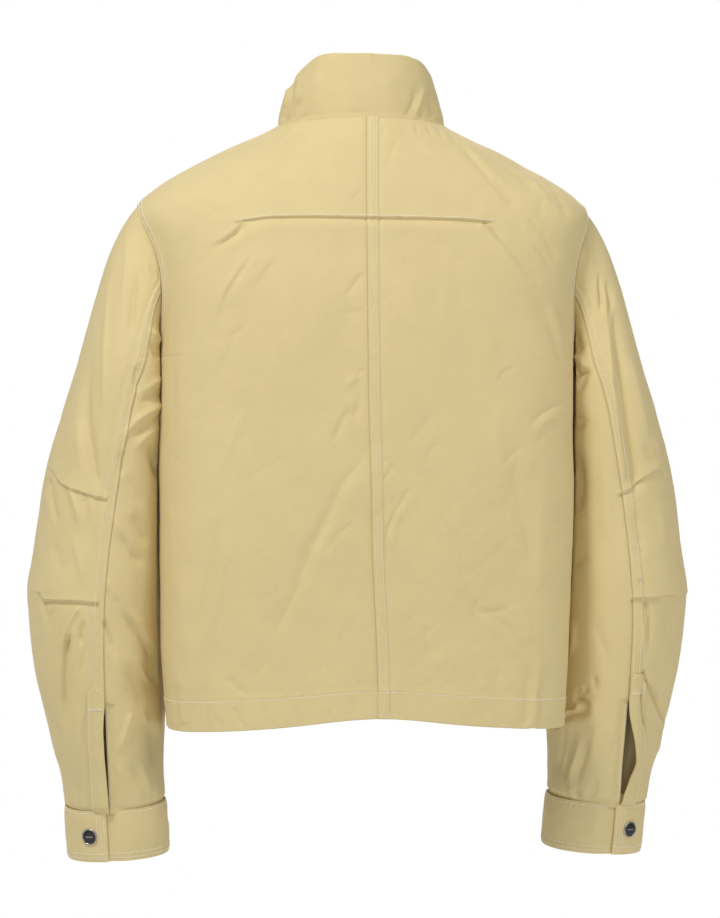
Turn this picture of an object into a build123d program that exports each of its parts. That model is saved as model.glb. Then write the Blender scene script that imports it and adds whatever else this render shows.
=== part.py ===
from build123d import *
import os
import numpy as np
from math import pi, radians, sin, cos, sqrt

# ---- driving dimensions, mm ----
FABRIC_T = 1.6        # body and sleeve panels: cloth with its seam allowances and interfacing
LINING_T = 1.0
CUFF_T = 1.9
HEM_Z = -600.0        # hem line at the side of the back
HEM_H = 28.0          # turned-up hem
COLLAR_LAYER = 1.6
SEAM_GAP = 0.3        # between neighbouring panels
ZIP_TOP_Z = -17.0     # upper end of the teeth
ZIP_BOTTOM_Z = -596.0
TOOTH_X0, TOOTH_X1 = 0.75, 3.0
SLEEVE_CUT_V = -376.0 # upper and elbow pieces meet
ELBOW_END_V = -520.0  # elbow and lower pieces meet
CUFF_TOP_V, CUFF_END_V = -679.0, -729.0
SNAP_D = 16.5

def pchip(xs, ys):
    """monotone cubic through a table"""
    xs = np.asarray(xs, float)
    ys = np.asarray(ys, float)
    if xs[0] > xs[-1]:
        xs, ys = xs[::-1], ys[::-1]
    h = np.diff(xs)
    d = np.diff(ys) / h
    m = np.zeros(len(xs))
    m[0], m[-1] = d[0], d[-1]
    for i in range(1, len(xs) - 1):
        if d[i - 1] * d[i] > 0:
            w1, w2 = 2 * h[i] + h[i - 1], h[i] + 2 * h[i - 1]
            m[i] = (w1 + w2) / (w1 / d[i - 1] + w2 / d[i])

    def f(x):
        x = np.clip(np.asarray(x, float), xs[0], xs[-1])
        k = np.clip(np.searchsorted(xs, x) - 1, 0, len(h) - 1)
        t = (x - xs[k]) / h[k]
        return ((1 + 2 * t) * (1 - t) ** 2 * ys[k] + t * (1 - t) ** 2 * h[k] * m[k]
                + t * t * (3 - 2 * t) * ys[k + 1] + t * t * (t - 1) * h[k] * m[k + 1])
    return f


# torso: horizontal sections, mm. Half width, back depth, front depth, depth of the widest point, roundness
T_A = pchip([-4, -12, -24, -36, -48, -60, -66, -72, -78, -84, -90, -96, -105, -118, -135, -160, -200, -240, -300,
             -360, -420, -480, -540, -570, -590, -615],
            [83, 97, 125, 150, 173, 194, 203, 211, 218, 223, 226, 227, 225.5, 221, 215, 209.5, 206.5, 206, 206,
             207, 206.5, 205, 202.5, 200, 198, 196])
T_YB = pchip([-4, -12, -24, -48, -76, -127, -180, -240, -300, -400, -500, -615],
             [64, 71, 79, 91, 102, 113, 118.5, 119.5, 118.5, 115.5, 112, 109])
T_YF = pchip([-4, -12, -24, -36, -48, -60, -75], [-66, -71, -77, -83, -89, -94.5, -100])
T_Y0 = pchip([-4, -60, -127, -180, -240, -400, -615], [0, 0, 6, 18, 30, 34, 30])
T_NB = pchip([-4, -40, -76, -110, -150, -240, -500, -615], [2.0, 2.05, 2.3, 2.8, 3.1, 2.9, 2.8, 2.7])
T_NF = pchip([-4, -40, -76, -150, -240, -615], [2.0, 2.0, 2.1, 2.25, 2.2, 2.15])
CF_SLOPE = 0.03804


def cf_y(z):
    """centre-front line: straight, so a zip slider can run along it"""
    return -100.0 + CF_SLOPE * (np.asarray(z, float) + 75)


NS = 401


def section(z):
    a, yb, y0, nb, nf = (float(f(z)) for f in (T_A, T_YB, T_Y0, T_NB, T_NF))
    yf = float(cf_y(z)) if z < -75 else float(T_YF(z))
    t = np.linspace(0, pi / 2, 700)
    x = np.concatenate([a * np.sin(t) ** (2 / nb), a * np.cos(t[1:]) ** (2 / nf)])
    y = np.concatenate([y0 + (yb - y0) * np.cos(t) ** (2 / nb), y0 - (y0 - yf) * np.sin(t[1:]) ** (2 / nf)])
    l = np.concatenate([[0], np.cumsum(np.hypot(np.diff(x), np.diff(y)))])
    s = np.linspace(0, l[-1], NS)
    return np.interp(s, l, x), np.interp(s, l, y), l[-1]


ZS = np.arange(-614.0, -3.0, 2.0)
SEC = [section(z) for z in ZS]
SEC_X = np.array([q[0] for q in SEC])
SEC_Y = np.array([q[1] for q in SEC])
SEC_L = np.array([q[2] for q in SEC])
ARM_ZC, ARM_H, ARM_YC, ARM_B, ARM_F = -162.0, 76.0, 0.0, 53.0, 66.0
ARM_TOP, ARM_LOW = ARM_ZC + ARM_H, ARM_ZC - ARM_H


def _bil(tab, z, s):
    fz = np.clip((np.asarray(z, float) - ZS[0]) / 2.0, 0, len(ZS) - 1.0001)
    fs = np.clip(np.asarray(s, float) * (NS - 1), 0, NS - 1.0001)
    i, j = fz.astype(int), fs.astype(int)
    a, b = fz - i, fs - j
    return ((1 - a) * (1 - b) * tab[i, j] + a * (1 - b) * tab[i + 1, j]
            + (1 - a) * b * tab[i, j + 1] + a * b * tab[i + 1, j + 1])


def torso(z, s):
    """+X side of the torso: height z, share s of the way round from centre back (0) to centre front (1)"""
    z, s = np.broadcast_arrays(np.asarray(z, float), np.asarray(s, float))
    return np.stack([_bil(SEC_X, z, s), _bil(SEC_Y, z, s), z], -1)


def s_at_y(z, y):
    """share s where the section at height z passes depth y"""
    z, y = np.broadcast_arrays(np.asarray(z, float), np.asarray(y, float))
    out = np.zeros(z.shape)
    for k, zz in np.ndenumerate(z):
        f = np.clip((zz - ZS[0]) / 2.0, 0, len(ZS) - 1.0001)
        i = int(f)
        row = SEC_Y[i] * (1 - f + i) + SEC_Y[i + 1] * (f - i)
        out[k] = np.interp(-y[k], -row, np.linspace(0, 1, NS))
    return out


def s_at_x(z, x):
    """share s on the front half where the section at height z has half width x"""
    z, x = np.broadcast_arrays(np.asarray(z, float), np.asarray(x, float))
    out = np.zeros(z.shape)
    for k, zz in np.ndenumerate(z):
        f = np.clip((zz - ZS[0]) / 2.0, 0, len(ZS) - 1.0001)
        i = int(f)
        row = SEC_X[i] * (1 - f + i) + SEC_X[i + 1] * (f - i)
        m = int(np.argmax(row))
        out[k] = np.interp(-x[k], -row[m:], np.linspace(0, 1, NS)[m:])
    return out


def edge_s(z, back=True):
    """side edge of a body panel: shoulder seam, armhole, side seam"""
    z = np.asarray(z, float)
    c = np.clip((z - ARM_ZC) / ARM_H, -1, 1)
    w = np.sqrt(1 - c * c)
    return s_at_y(z, ARM_YC + (ARM_B if back else -ARM_F) * w)


NECK_R, NECK_B, NECK_F = 83.0, 64.0, 100.0


def neck_s(z):
    """front neckline at heights -75 to -4"""
    z = np.atleast_1d(np.asarray(z, float))
    out = np.zeros(z.shape)
    for k, zz in np.ndenumerate(z):
        p = torso(zz, np.linspace(0, 1, NS))
        m = int(np.argmax(p[:, 0]))
        f = (p[m:, 0] / NECK_R) ** 2 + (p[m:, 1] / NECK_F) ** 2 - 1
        i = np.where(f < 0)[0]
        if len(i) == 0:
            out[k] = 1.0
        else:
            i = max(int(i[0]), 1)
            t = f[i - 1] / (f[i - 1] - f[i]) if f[i - 1] > f[i] else 0
            out[k] = (m + i - 1 + min(max(t, 0), 1)) / (NS - 1)
    return out


def hem_lift(s):
    """the hem rises a little at the centre back"""
    return 11.0 * np.exp(-(np.asarray(s, float) / 0.16) ** 2) - 2.0 * np.exp(-((np.asarray(s, float) - 0.36) / 0.10) ** 2)


def body(z, s):
    """torso surface with the hem line's rise, z -4 to -600"""
    z, s = np.broadcast_arrays(np.asarray(z, float), np.asarray(s, float))
    k = np.clip((-420 - z) / 180.0, 0, 1.1) ** 1.5
    return torso(z + hem_lift(s) * k, s)


# sleeve (+X side): outer and inner silhouette, centre depth, half depth against the centre line's height v
SL_OUT = pchip([-228, -252, -276, -300, -324, -348, -372, -396, -420, -444, -468, -492, -516, -540, -564, -588,
                -612, -636, -660, -684, -708, -742],
               [279, 286.5, 294.5, 302, 310, 316, 320.5, 323.5, 326.5, 330, 333.5, 332, 329.5, 326, 320.5, 314.5,
                309, 301.5, 296, 293, 291.5, 289.5])
SL_IN = pchip([-232, -300, -400, -500, -600, -660, -690, -742], [190, 190, 192, 194, 194, 196, 194, 190])
SL_CY = pchip([-232, -300, -400, -450, -500, -550, -600, -650, -700, -742],
              [-6, -7, -8, -7, -9, -13, -18, -23, -29, -34])
SL_D = pchip([-232, -300, -400, -470, -550, -600, -650, -684, -742], [78, 77, 74, 71, 63, 56, 48, 42.5, 41])
TILT = pchip([-262, -360, -450, -560, -640, -742], [0, 0.0, 0.35, 0.85, 1.0, 1.0])
SL_V1 = -262.0


def tube(v, th):
    """sleeve below the cap: th 0 outer, 90 back, 180 inner, 270 front"""
    v, th = np.broadcast_arrays(np.asarray(v, float), np.asarray(th, float))
    e = 4.0
    cx, w = (SL_OUT(v) + SL_IN(v)) / 2, (SL_OUT(v) - SL_IN(v)) / 2
    tx = ((SL_OUT(v + e) + SL_IN(v + e)) - (SL_OUT(v - e) + SL_IN(v - e))) / (4 * e)
    ty = (SL_CY(v + e) - SL_CY(v - e)) / (2 * e)
    c, s = np.cos(th), np.sin(th)
    lx = w * np.sign(c) * np.abs(c) ** (2 / 2.15)
    ly = SL_D(v) * np.sign(s) * np.abs(s) ** (2 / 2.15)
    return np.stack([cx + lx, SL_CY(v) + ly, v - TILT(v) * (tx * lx + ty * ly)], -1)


def arm_ring(th):
    """armhole seam by the sleeve's angle"""
    th = np.asarray(th, float)
    z = ARM_ZC + ARM_H * np.cos(th) * 0.9995
    y = ARM_YC + np.where(np.sin(th) > 0, ARM_B, ARM_F) * np.sin(th)
    return torso(z, s_at_y(z, y))


def cap(u, th):
    """sleeve head between the armhole (u 0) and the ring at SL_V1 (u 1)"""
    u, th = np.broadcast_arrays(np.asarray(u, float), np.asarray(th, float))
    tk = np.linspace(0, 2 * pi, 721)
    rk = arm_ring(tk)
    tm = np.mod(th, 2 * pi)
    R = np.stack([np.interp(tm, tk, rk[:, i]) for i in range(3)], -1)
    Q = tube(np.full(th.shape, SL_V1), th)
    D = tube(np.full(th.shape, SL_V1 - 3.0), th) - tube(np.full(th.shape, SL_V1 + 3.0), th)
    D = D / np.linalg.norm(D, axis=-1, keepdims=True)
    ch = Q - R
    L = np.linalg.norm(ch, axis=-1, keepdims=True)
    g = (0.5 + 0.5 * np.cos(th))[..., None]
    m0 = ch / L + np.array([1.0, 0, 0]) * (0.10 + 0.42 * g ** 1.5)
    m0 = m0 / np.linalg.norm(m0, axis=-1, keepdims=True) * L * (0.55 + 0.25 * g)
    m1 = D * L * 1.05
    u = u[..., None]
    return ((2 * u ** 3 - 3 * u ** 2 + 1) * R + (u ** 3 - 2 * u ** 2 + u) * m0
            + (-2 * u ** 3 + 3 * u ** 2) * Q + (u ** 3 - u ** 2) * m1)


_SY = np.arange(-132.0, 133.0, 2.0)
_SIDE = np.array([np.interp(-_SY, -SEC_Y[i], SEC_X[i], left=0, right=0) for i in range(len(ZS))])


def torso_x(y, z):
    """half width of the torso at depth y and height z"""
    fz = np.clip((z - ZS[0]) / 2.0, 0, len(ZS) - 1.0001)
    fy = np.clip((y - _SY[0]) / 2.0, 0, len(_SY) - 1.0001)
    i, j = fz.astype(int), fy.astype(int)
    a, b = fz - i, fy - j
    return ((1 - a) * (1 - b) * _SIDE[i, j] + a * (1 - b) * _SIDE[i + 1, j]
            + (1 - a) * b * _SIDE[i, j + 1] + a * b * _SIDE[i + 1, j + 1])


SIDE_GAP = 3.0


def sleeve(q, th):
    """+X sleeve's outer face: q 0 armhole, 1 at SL_V1, then 1 per 100 mm of height"""
    q, th = np.broadcast_arrays(np.asarray(q, float), np.asarray(th, float))
    P = np.where((q < 1)[..., None], cap(np.clip(q, 0, 1), th), tube(SL_V1 - (np.maximum(q, 1) - 1) * 100.0, th))
    k = np.clip(q / 0.25, 0, 1) * np.clip((P[..., 2] + 614) / 14.0, 0, 1)
    push = np.maximum(torso_x(P[..., 1], P[..., 2]) + SIDE_GAP - P[..., 0], 0) * k
    P = P.copy()
    P[..., 0] += push
    return P


def q_of(v):
    return 1 + (SL_V1 - np.asarray(v, float)) / 100.0


C_TX = pchip([0, 20, 40, 60, 75, 90, 110, 135, 160, 180], [0, 26, 47, 63, 72, 75.5, 73, 57, 29, 0])
C_TY = pchip([0, 20, 40, 60, 75, 90, 110, 135, 160, 180], [62, 58, 47, 28, 6, -18, -48, -78, -93, -97.7])
C_TZ = pchip([0, 20, 40, 60, 75, 90, 110, 135, 160, 180], [65, 64, 59.5, 49, 37, 26, 13, 1, -9, -13])
_NZ = np.linspace(-4, -75, 143)
_NP = torso(_NZ, neck_s(_NZ))
_NA = np.arctan2(_NP[:, 0] / NECK_R, _NP[:, 1] / NECK_F)
_NA[0], _NA[-1] = pi / 2, pi


def neck_ring(phi):
    """collar seam: phi 0 centre back, 90 side, 180 centre front"""
    phi = np.asarray(phi, float)
    b = phi <= pi / 2
    z = np.where(b, -4 + 4 * np.cos(phi) ** 2, np.interp(phi, _NA, _NZ))
    return np.stack([NECK_R * np.sin(phi), np.where(b, NECK_B, NECK_F) * np.cos(phi), z], -1)


def collar(phi, h):
    """collar's outer face: h 0 at the seam, 1 at the top edge; phi negative on the -X side"""
    phi, h = np.broadcast_arrays(np.asarray(phi, float), np.asarray(h, float))
    sg = np.where(phi < 0, -1.0, 1.0)
    p = np.abs(phi)
    d = np.degrees(p)
    B = neck_ring(p)
    T = np.stack([C_TX(d), C_TY(d), C_TZ(d)], -1)
    hh = h[..., None]
    P = B * (1 - hh) + T * hh
    bul = np.sin(pi * h) * 1.8 * np.sqrt(np.clip(np.sin(p), 0, 1)) * np.clip((pi * 0.92 - p) / 0.3, 0, 1)
    P = P + np.stack([np.sin(p), np.cos(p), 0 * p], -1) * bul[..., None]
    P[..., 0] *= sg
    return P
# ---------------------------------------------------------------- solids from point grids
def normals(P):
    n = np.cross(np.gradient(P, axis=0), np.gradient(P, axis=1))
    return n / np.maximum(np.linalg.norm(n, axis=-1, keepdims=True), 1e-9)


def away(P, C):
    """unit normals pointing away from the axis points C"""
    n = normals(P)
    return n * np.sign(np.sum(n * (P - C)))


def grid_area(P):
    a, b, c, d = P[:-1, :-1], P[1:, :-1], P[1:, 1:], P[:-1, 1:]
    return 0.5 * (np.linalg.norm(np.cross(b - a, c - a), axis=-1) + np.linalg.norm(np.cross(c - a, d - a), axis=-1)).sum()


def skin_once(P, Q, tol):
    def srf(G):
        return Face.make_surface_from_array_of_points([[Vector(*map(float, p)) for p in row] for row in G],
                                                      tol=tol, min_deg=3, max_deg=3)
    a, b = srf(P), srf(Q)
    eb = list(b.edges())
    faces = [a, b]
    for e in a.edges():
        f = min(eb, key=lambda g: ((g @ 0.5) - (e @ 0.5)).length + ((g @ 0) - (e @ 0)).length)
        faces.append(Face.make_surface_from_curves(e, f))
    return Solid(Shell(faces))


def skin(P, Q):
    """closed solid between two point grids with the same rows and columns"""
    want = 0.5 * (grid_area(P) + grid_area(Q)) * float(np.median(np.linalg.norm(P - Q, axis=-1)))
    lo = np.minimum(P.reshape(-1, 3).min(0), Q.reshape(-1, 3).min(0))
    hi = np.maximum(P.reshape(-1, 3).max(0), Q.reshape(-1, 3).max(0))
    best = None
    for tol in (0.1, 0.2, 0.35, 0.6, 1.0, 1.6):
        try:
            s = skin_once(P, Q, tol)
        except Exception:
            continue
        if not s.is_valid:
            continue
        bb = s.bounding_box()
        out = max(*(lo - np.array(tuple(bb.min))), *(np.array(tuple(bb.max)) - hi))
        err = abs(s.volume / want - 1) + max(out, 0) / 20
        if best is None or err < best[0]:
            best = (err, s, tol)
        if err < 0.06:
            break
    return best[1], best


made = {}


def put(name, shape, note=""):
    made[name] = shape
    export_step(shape, "parts/" + name + ".step")
    bb = shape.bounding_box()
    print(f"{name:30s} vol {shape.volume:10.1f}  x {bb.min.X:7.1f} {bb.max.X:7.1f}  y {bb.min.Y:7.1f} {bb.max.Y:7.1f}"
          f"  z {bb.min.Z:7.1f} {bb.max.Z:7.1f} {note}")


def put_skin(name, P, t, C, out=0.0):
    """solid of thickness t lying inside the grid P, after moving it outward by out"""
    N = away(P, C)
    s, b = skin(P + N * out, P + N * (out - t))
    put(name, s, f"tol {b[2]} err {b[0]:.3f}")
    return s


def flip(P):
    Q = P.copy()
    Q[..., 0] *= -1
    return Q


def axis_of(P, kx=0.2):
    C = P.copy()
    C[..., 0] *= kx
    C[..., 1] = 0
    return C


os.makedirs("parts", exist_ok=True)
SIDES = (("left", 1), ("right", -1))   # the wearer's left is +X


def sided(P, sd):
    return P if sd > 0 else flip(P)


# ---------------------------------------------------------------- body panels
z_top = [-4.3, -7, -11, -16, -22, -30, -40, -50, -60, -70, -78, -84]
z_arm = list(ARM_ZC + ARM_H * np.cos(np.linspace(0.12, pi - 0.12, 16)))
z_low = [-246, -260, -300, -350, -400, -450, -500, -540, -570, HEM_Z]
z_rows = np.sort(np.array(z_top + z_arm + z_low))[::-1]


def len_at(z):
    return np.interp(z, ZS, SEC_L)


def body_grid(zs, s0, s1, n, inset=0.0):
    rows = []
    for z, a, b in zip(zs, s0, s1):
        rows.append(body(z, np.linspace(a, b, n)))
    P = np.array(rows)
    if inset:
        P = P - away(P, axis_of(P)) * inset
    return P


half = SEAM_GAP / 2
L = len_at(z_rows)
# the shoulder and armhole edge keeps clear of the front panel and the sleeve head
clear = half + (1.0 - half) * np.clip((z_rows - (ARM_LOW - 75)) / 45, 0, 1)
back_grid = body_grid(z_rows, half / L, edge_s(z_rows, True) - clear / L, 15)
for nm, sd in SIDES:
    P = sided(back_grid, sd)
    put_skin(nm.replace("left", "back_left").replace("right", "back_right") + "_panel", P, FABRIC_T, axis_of(P))

CF_EDGE = 5.5          # front panel's folded edge beside the teeth


def by_length(zs, ss):
    """the (z, s) polyline's points and its running length on the body, for even spacing"""
    p = body(zs, ss)
    return np.concatenate([[0], np.cumsum(np.linalg.norm(np.diff(p, axis=0), axis=1))])


def along(zs, ss, n, skip=False):
    l = by_length(zs, ss)
    k = np.linspace(0, l[-1], n)
    z, s = np.interp(k, l, zs), np.interp(k, l, ss)
    return (z[1:], s[1:]) if skip else (z, s)


def joined(*runs):
    return np.concatenate([r[0] for r in runs]), np.concatenate([r[1] for r in runs])


# the front's rows run from the shoulder seam, armhole and side seam to the neckline and the zip edge
zz = np.linspace(-12.0, ARM_TOP, 80)
outer_a = along(zz, edge_s(zz, False) + 1.6 / len_at(zz), 9)
zz = ARM_ZC + ARM_H * np.cos(np.linspace(0.0, pi, 120))
outer_b = along(zz, edge_s(zz, False) + 1.6 / len_at(zz), 15, True)
zz = np.linspace(ARM_LOW, HEM_Z, 60)
outer_c = along(zz, edge_s(zz, False) + (0.5 + 1.1 * np.exp(-((ARM_LOW - zz) / 45.0) ** 2)) / len_at(zz), 12, True)
nphi = np.linspace(pi / 2 + 0.20, pi - 0.075, 80)
nz = neck_ring(nphi)[:, 2]
inner_a = along(nz, neck_s(nz) - 0.5 / len_at(nz), 9)
inner_a[1][-1] = float(s_at_x(inner_a[0][-1], 6.3))
zz = np.linspace(inner_a[0][-1], -255.0, 60)
inner_b = along(zz, s_at_x(zz, CF_EDGE + 0.8 * np.exp(-(inner_a[0][-1] - zz) / 12.0)), 15, True)
zz = np.linspace(-255.0, HEM_Z, 60)
inner_c = along(zz, s_at_x(zz, CF_EDGE), 12, True)
oz, os_ = joined(outer_a, outer_b, outer_c)
iz, is_ = joined(inner_a, inner_b, inner_c)
front_grid = np.array([body(np.linspace(a, c, 15), np.linspace(b, d, 15)) for a, b, c, d in zip(oz, os_, iz, is_)])
for nm, sd in SIDES:
    P = sided(front_grid, sd)
    put_skin("front_" + nm + "_panel", P, FABRIC_T, axis_of(P))

# hem facing: the turned-up strip inside the hem, one piece open at the front
zh = np.linspace(HEM_Z + HEM_H, HEM_Z + 0.6, 5)
sh = np.concatenate([-np.linspace(0.955, 0.0, 26)[:-1], np.linspace(0.0, 0.955, 26)])
P = np.array([[body(z, abs(s)) * np.array([1 if s >= 0 else -1, 1, 1]) for s in sh] for z in zh])
P = P - away(P, axis_of(P)) * (FABRIC_T + 0.75)
put_skin("hem_facing", P, 1.2, axis_of(P))

# front facings: strips inside the zip edges, above the hem facing
zc = np.array([-90, -130, -180, -240, -300, -360, -420, -480, -530, HEM_Z + HEM_H + 1.0])
for nm, sd in SIDES:
    P = body_grid(zc, s_at_x(zc, 46.0), s_at_x(zc, 15.5), 6, FABRIC_T + 0.25)
    P = sided(P, sd)
    put_skin("front_facing_" + nm, P, 1.2, axis_of(P))

# ---------------------------------------------------------------- collar
phs = np.concatenate([-np.linspace(pi - 0.075, 0, 24)[:-1], np.linspace(0, pi - 0.075, 24)])
def collar_grid(hs):
    """rows of the collar; its lower edge reaches down to the body panels' neck edge"""
    low = 0.02 - 0.075 * np.clip(np.cos(phs), 0, 1) ** 2
    return np.array([[collar(p, l + (1 - l) * h if h < 1 else h) for p, l in zip(phs, low)] for h in hs])


P = collar_grid((0.0, 0.25, 0.5, 0.75, 1.0))
put_skin("collar_outer", P, COLLAR_LAYER, axis_of(P, 0.0))
P2 = collar_grid((0.0, 0.25, 0.5, 0.75, 0.985))
P2 = P2 - away(P2, axis_of(P2, 0.0)) * (COLLAR_LAYER + 0.25)
put_skin("collar_inner", P2, 1.4, axis_of(P2, 0.0))

# hanger loop: a strap bowed away from the inside of the back neck
us = np.linspace(-1, 1, 17)
P = np.array([[(30 * u, 57.6 - 9.5 * (1 - u * u) ** 0.8, -6.0 - w - 5.0 * (1 - u * u)) for u in us] for w in (0, 4, 8)])
put_skin("hanger_loop", P, 1.3, P - np.array([0, 30.0, 0]))

# ---------------------------------------------------------------- lining of the body
zl = np.array([-14, -20, -30, -45, -60, -75, -90, -110, -135, -165, -195, -225, -245, -280, -330, -380, -430, -480, -530, -568.0])
Ll = len_at(zl)
LIN_IN = FABRIC_T + 2.1
P = body_grid(zl, 0 * zl, edge_s(zl, True) - 3.0 / Ll, 15, LIN_IN)
P = np.concatenate([flip(P)[:, ::-1][:, :-1], P], axis=1)
P[:, 14, 0] = 0
put_skin("lining_back", P, LINING_T, axis_of(P))
zl2 = zl[zl < -80]
Ll2 = len_at(zl2)
for nm, sd in SIDES:
    P = body_grid(zl2, edge_s(zl2, False) + 1.0 / Ll2, s_at_x(zl2, 48.0), 12, LIN_IN)
    P = sided(P, sd)
    put_skin("lining_front_" + nm, P, LINING_T, axis_of(P))

# ---------------------------------------------------------------- zip
zdir = np.array([0.0, -CF_SLOPE, -1.0])
zdir = zdir / np.linalg.norm(zdir)      # down the front
zout = np.array([0.0, -1.0, CF_SLOPE])
zout = zout / np.linalg.norm(zout)      # out of the front
lean = -np.degrees(np.arctan(CF_SLOPE))


def cf_box(x0, x1, z0, z1, o0, o1):
    """block along the centre-front line: x range, z range, outward offset range from the line"""
    zm = (z0 + z1) / 2
    o = (o0 + o1) / 2
    c = np.array([0, float(cf_y(zm)), zm]) + zout * o
    b = Box(x1 - x0, o1 - o0, abs(z1 - z0) / cos(np.arctan(CF_SLOPE)))
    return Location(((x0 + x1) / 2, float(c[1]), float(c[2])), (lean, 0, 0)) * b


TE_O0, TE_O1 = -2.6, -0.6               # teeth's depth, under the folded edges' face
for nm, sd in SIDES:
    xs = sorted((sd * TOOTH_X0, sd * TOOTH_X1))
    put("zip_teeth_" + nm, cf_box(xs[0], xs[1], ZIP_TOP_Z, ZIP_BOTTOM_Z + 9, TE_O0, TE_O1))
    xs = sorted((sd * (TOOTH_X1 + 0.05), sd * 13.5))
    xn = sorted((sd * (TOOTH_X1 + 0.05), sd * 5.3))     # narrow where the collar's layers hold it
    put("zip_tape_" + nm, (cf_box(xs[0], xs[1], -84.0, ZIP_BOTTOM_Z, -3.0, -2.4)
                           + cf_box(xn[0], xn[1], ZIP_TOP_Z + 3, -84.0, -3.0, -2.4)).solid())
put("zip_end_box", cf_box(-3.4, 3.4, ZIP_BOTTOM_Z + 8.6, ZIP_BOTTOM_Z + 0.5, -2.3, 0.4))
stops = [cf_box(*sorted((sd * TOOTH_X0, sd * TOOTH_X1)), ZIP_TOP_Z + 3.2, ZIP_TOP_Z + 0.3, TE_O0, 0.0) for sd in (1, -1)]
put("zip_top_stop_left", stops[0])
put("zip_top_stop_right", stops[1])
SL_Z = -26.5                              # slider's centre when closed
outer_plate = cf_box(-4.3, 4.3, SL_Z + 5.5, SL_Z - 5.5, -0.2, 1.0)
inner_plate = cf_box(-4.3, 4.3, SL_Z + 5.5, SL_Z - 5.5, -4.6, -3.4)
web = cf_box(-0.4, 0.4, SL_Z + 5.0, SL_Z + 1.0, -3.6, 0.0)
lug_a = cf_box(-2.0, -1.35, SL_Z + 3.2, SL_Z - 0.4, 0.9, 3.9)
lug_b = cf_box(1.35, 2.0, SL_Z + 3.2, SL_Z - 0.4, 0.9, 3.9)
pin_c = np.array([0, float(cf_y(SL_Z + 1.4)), SL_Z + 1.4]) + zout * 2.75
pin = Location(tuple(map(float, pin_c)), (0, 90, 0)) * Cylinder(0.42, 3.8)
put("zip_slider_body", (outer_plate + inner_plate + web + lug_a + lug_b + pin).solid())
PULL_PIVOT = tuple(map(float, pin_c))
eye = Location(PULL_PIVOT, (0, 90, 0)) * (Cylinder(1.35, 2.0) - Cylinder(0.75, 2.0))
tab_c = pin_c + zdir * 15.5
tab = Location(tuple(map(float, tab_c)), (lean, 0, 0)) * Box(6.0, 1.3, 25.0)
tab = fillet(tab.edges().filter_by(lambda e: abs(e.length - 1.3) < 0.01), 1.2)
neck = Location(tuple(map(float, pin_c + zdir * 2.6)), (lean, 0, 0)) * Box(2.0, 1.3, 3.0)
hole = Location(tuple(map(float, pin_c + zdir * 23.5)), (90 + lean, 0, 0)) * Cylinder(1.2, 5)
pull = tab + neck + eye - hole - Location(PULL_PIVOT, (0, 90, 0)) * Cylinder(0.75, 2.0)
put("zip_pull_tab", pull.solid())

# ---------------------------------------------------------------- welt pockets on the fronts
def front_at(z, x, out):
    """point and outward normal on the +X front at height z and half width x"""
    s = s_at_x(z, x)
    p = body(z, s)
    e = 1.5
    du = body(z + e, s_at_x(z + e, x)) - body(z - e, s_at_x(z - e, x))
    dv = body(z, s_at_x(z, x + e)) - body(z, s_at_x(z, x - e))
    n = np.cross(dv, du)
    n = n / np.linalg.norm(n)
    if n[1] > 0:
        n = -n
    return p + n * out


WELT_TOP, WELT_LOW, WELT_W = (112.0, -402.0), (140.0, -542.0), 24.0
for nm, sd in SIDES:
    rows = []
    for u in np.linspace(0, 1, 9):
        x = WELT_TOP[0] + (WELT_LOW[0] - WELT_TOP[0]) * u
        z = WELT_TOP[1] + (WELT_LOW[1] - WELT_TOP[1]) * u
        rows.append([front_at(z + 0.2 * w, x - w, 0.3 + 1.5) for w in np.linspace(0, WELT_W, 5)])
    P = sided(np.array(rows), sd)
    put_skin("pocket_welt_" + nm, P, 1.5, axis_of(P))
    rows = []
    for z in np.linspace(-398, -562, 8):
        xo = WELT_TOP[0] + (WELT_LOW[0] - WELT_TOP[0]) * np.clip((z + 402) / -140.0, 0, 1)
        rows.append([front_at(z, x, -(FABRIC_T + 0.35)) for x in np.linspace(xo - 6, 52, 9)])
    P = sided(np.array(rows), sd)
    put_skin("pocket_bag_" + nm, P, 1.2, axis_of(P))

# ---------------------------------------------------------------- sleeves
SEAM_B = pchip([-100, -162, -188, -216, -240, -265, -289, -322, -358, -407, -442, -477, -511, -560, -640, -690],
               [205, 204, 213, 219.5, 224, 232, 238, 244, 250, 257, 261, 264, 265, 265, 262, 259])


def seam_th(v, back=True):
    """angle of the back (or front) sleeve seam at level v"""
    if not back:
        return np.radians(-108.0)
    ths = np.radians(np.linspace(40, 150, 221))
    X = tube(np.full(221, float(v)), ths)[:, 0]
    return float(np.interp(-float(SEAM_B(v)), -X, ths))


def centre(q):
    th = np.linspace(0, 2 * pi, 24, endpoint=False)
    return sleeve(np.full(24, q), th).mean(0)


def sleeve_grid(q, a, b, n, inset=0.0):
    """rows at q, angles from a(q) to b(q)"""
    P = np.array([sleeve(np.full(n, qq), np.linspace(a(qq), b(qq), n)) for qq in q])
    C = np.array([[centre(qq)] * n for qq in q])
    if inset:
        P = P - away(P, C) * inset
    return P, C


def v_of(q):
    return SL_V1 - (q - 1) * 100.0


def th_back(q):
    return seam_th(v_of(q) if q >= 1 else SL_V1)


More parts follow.
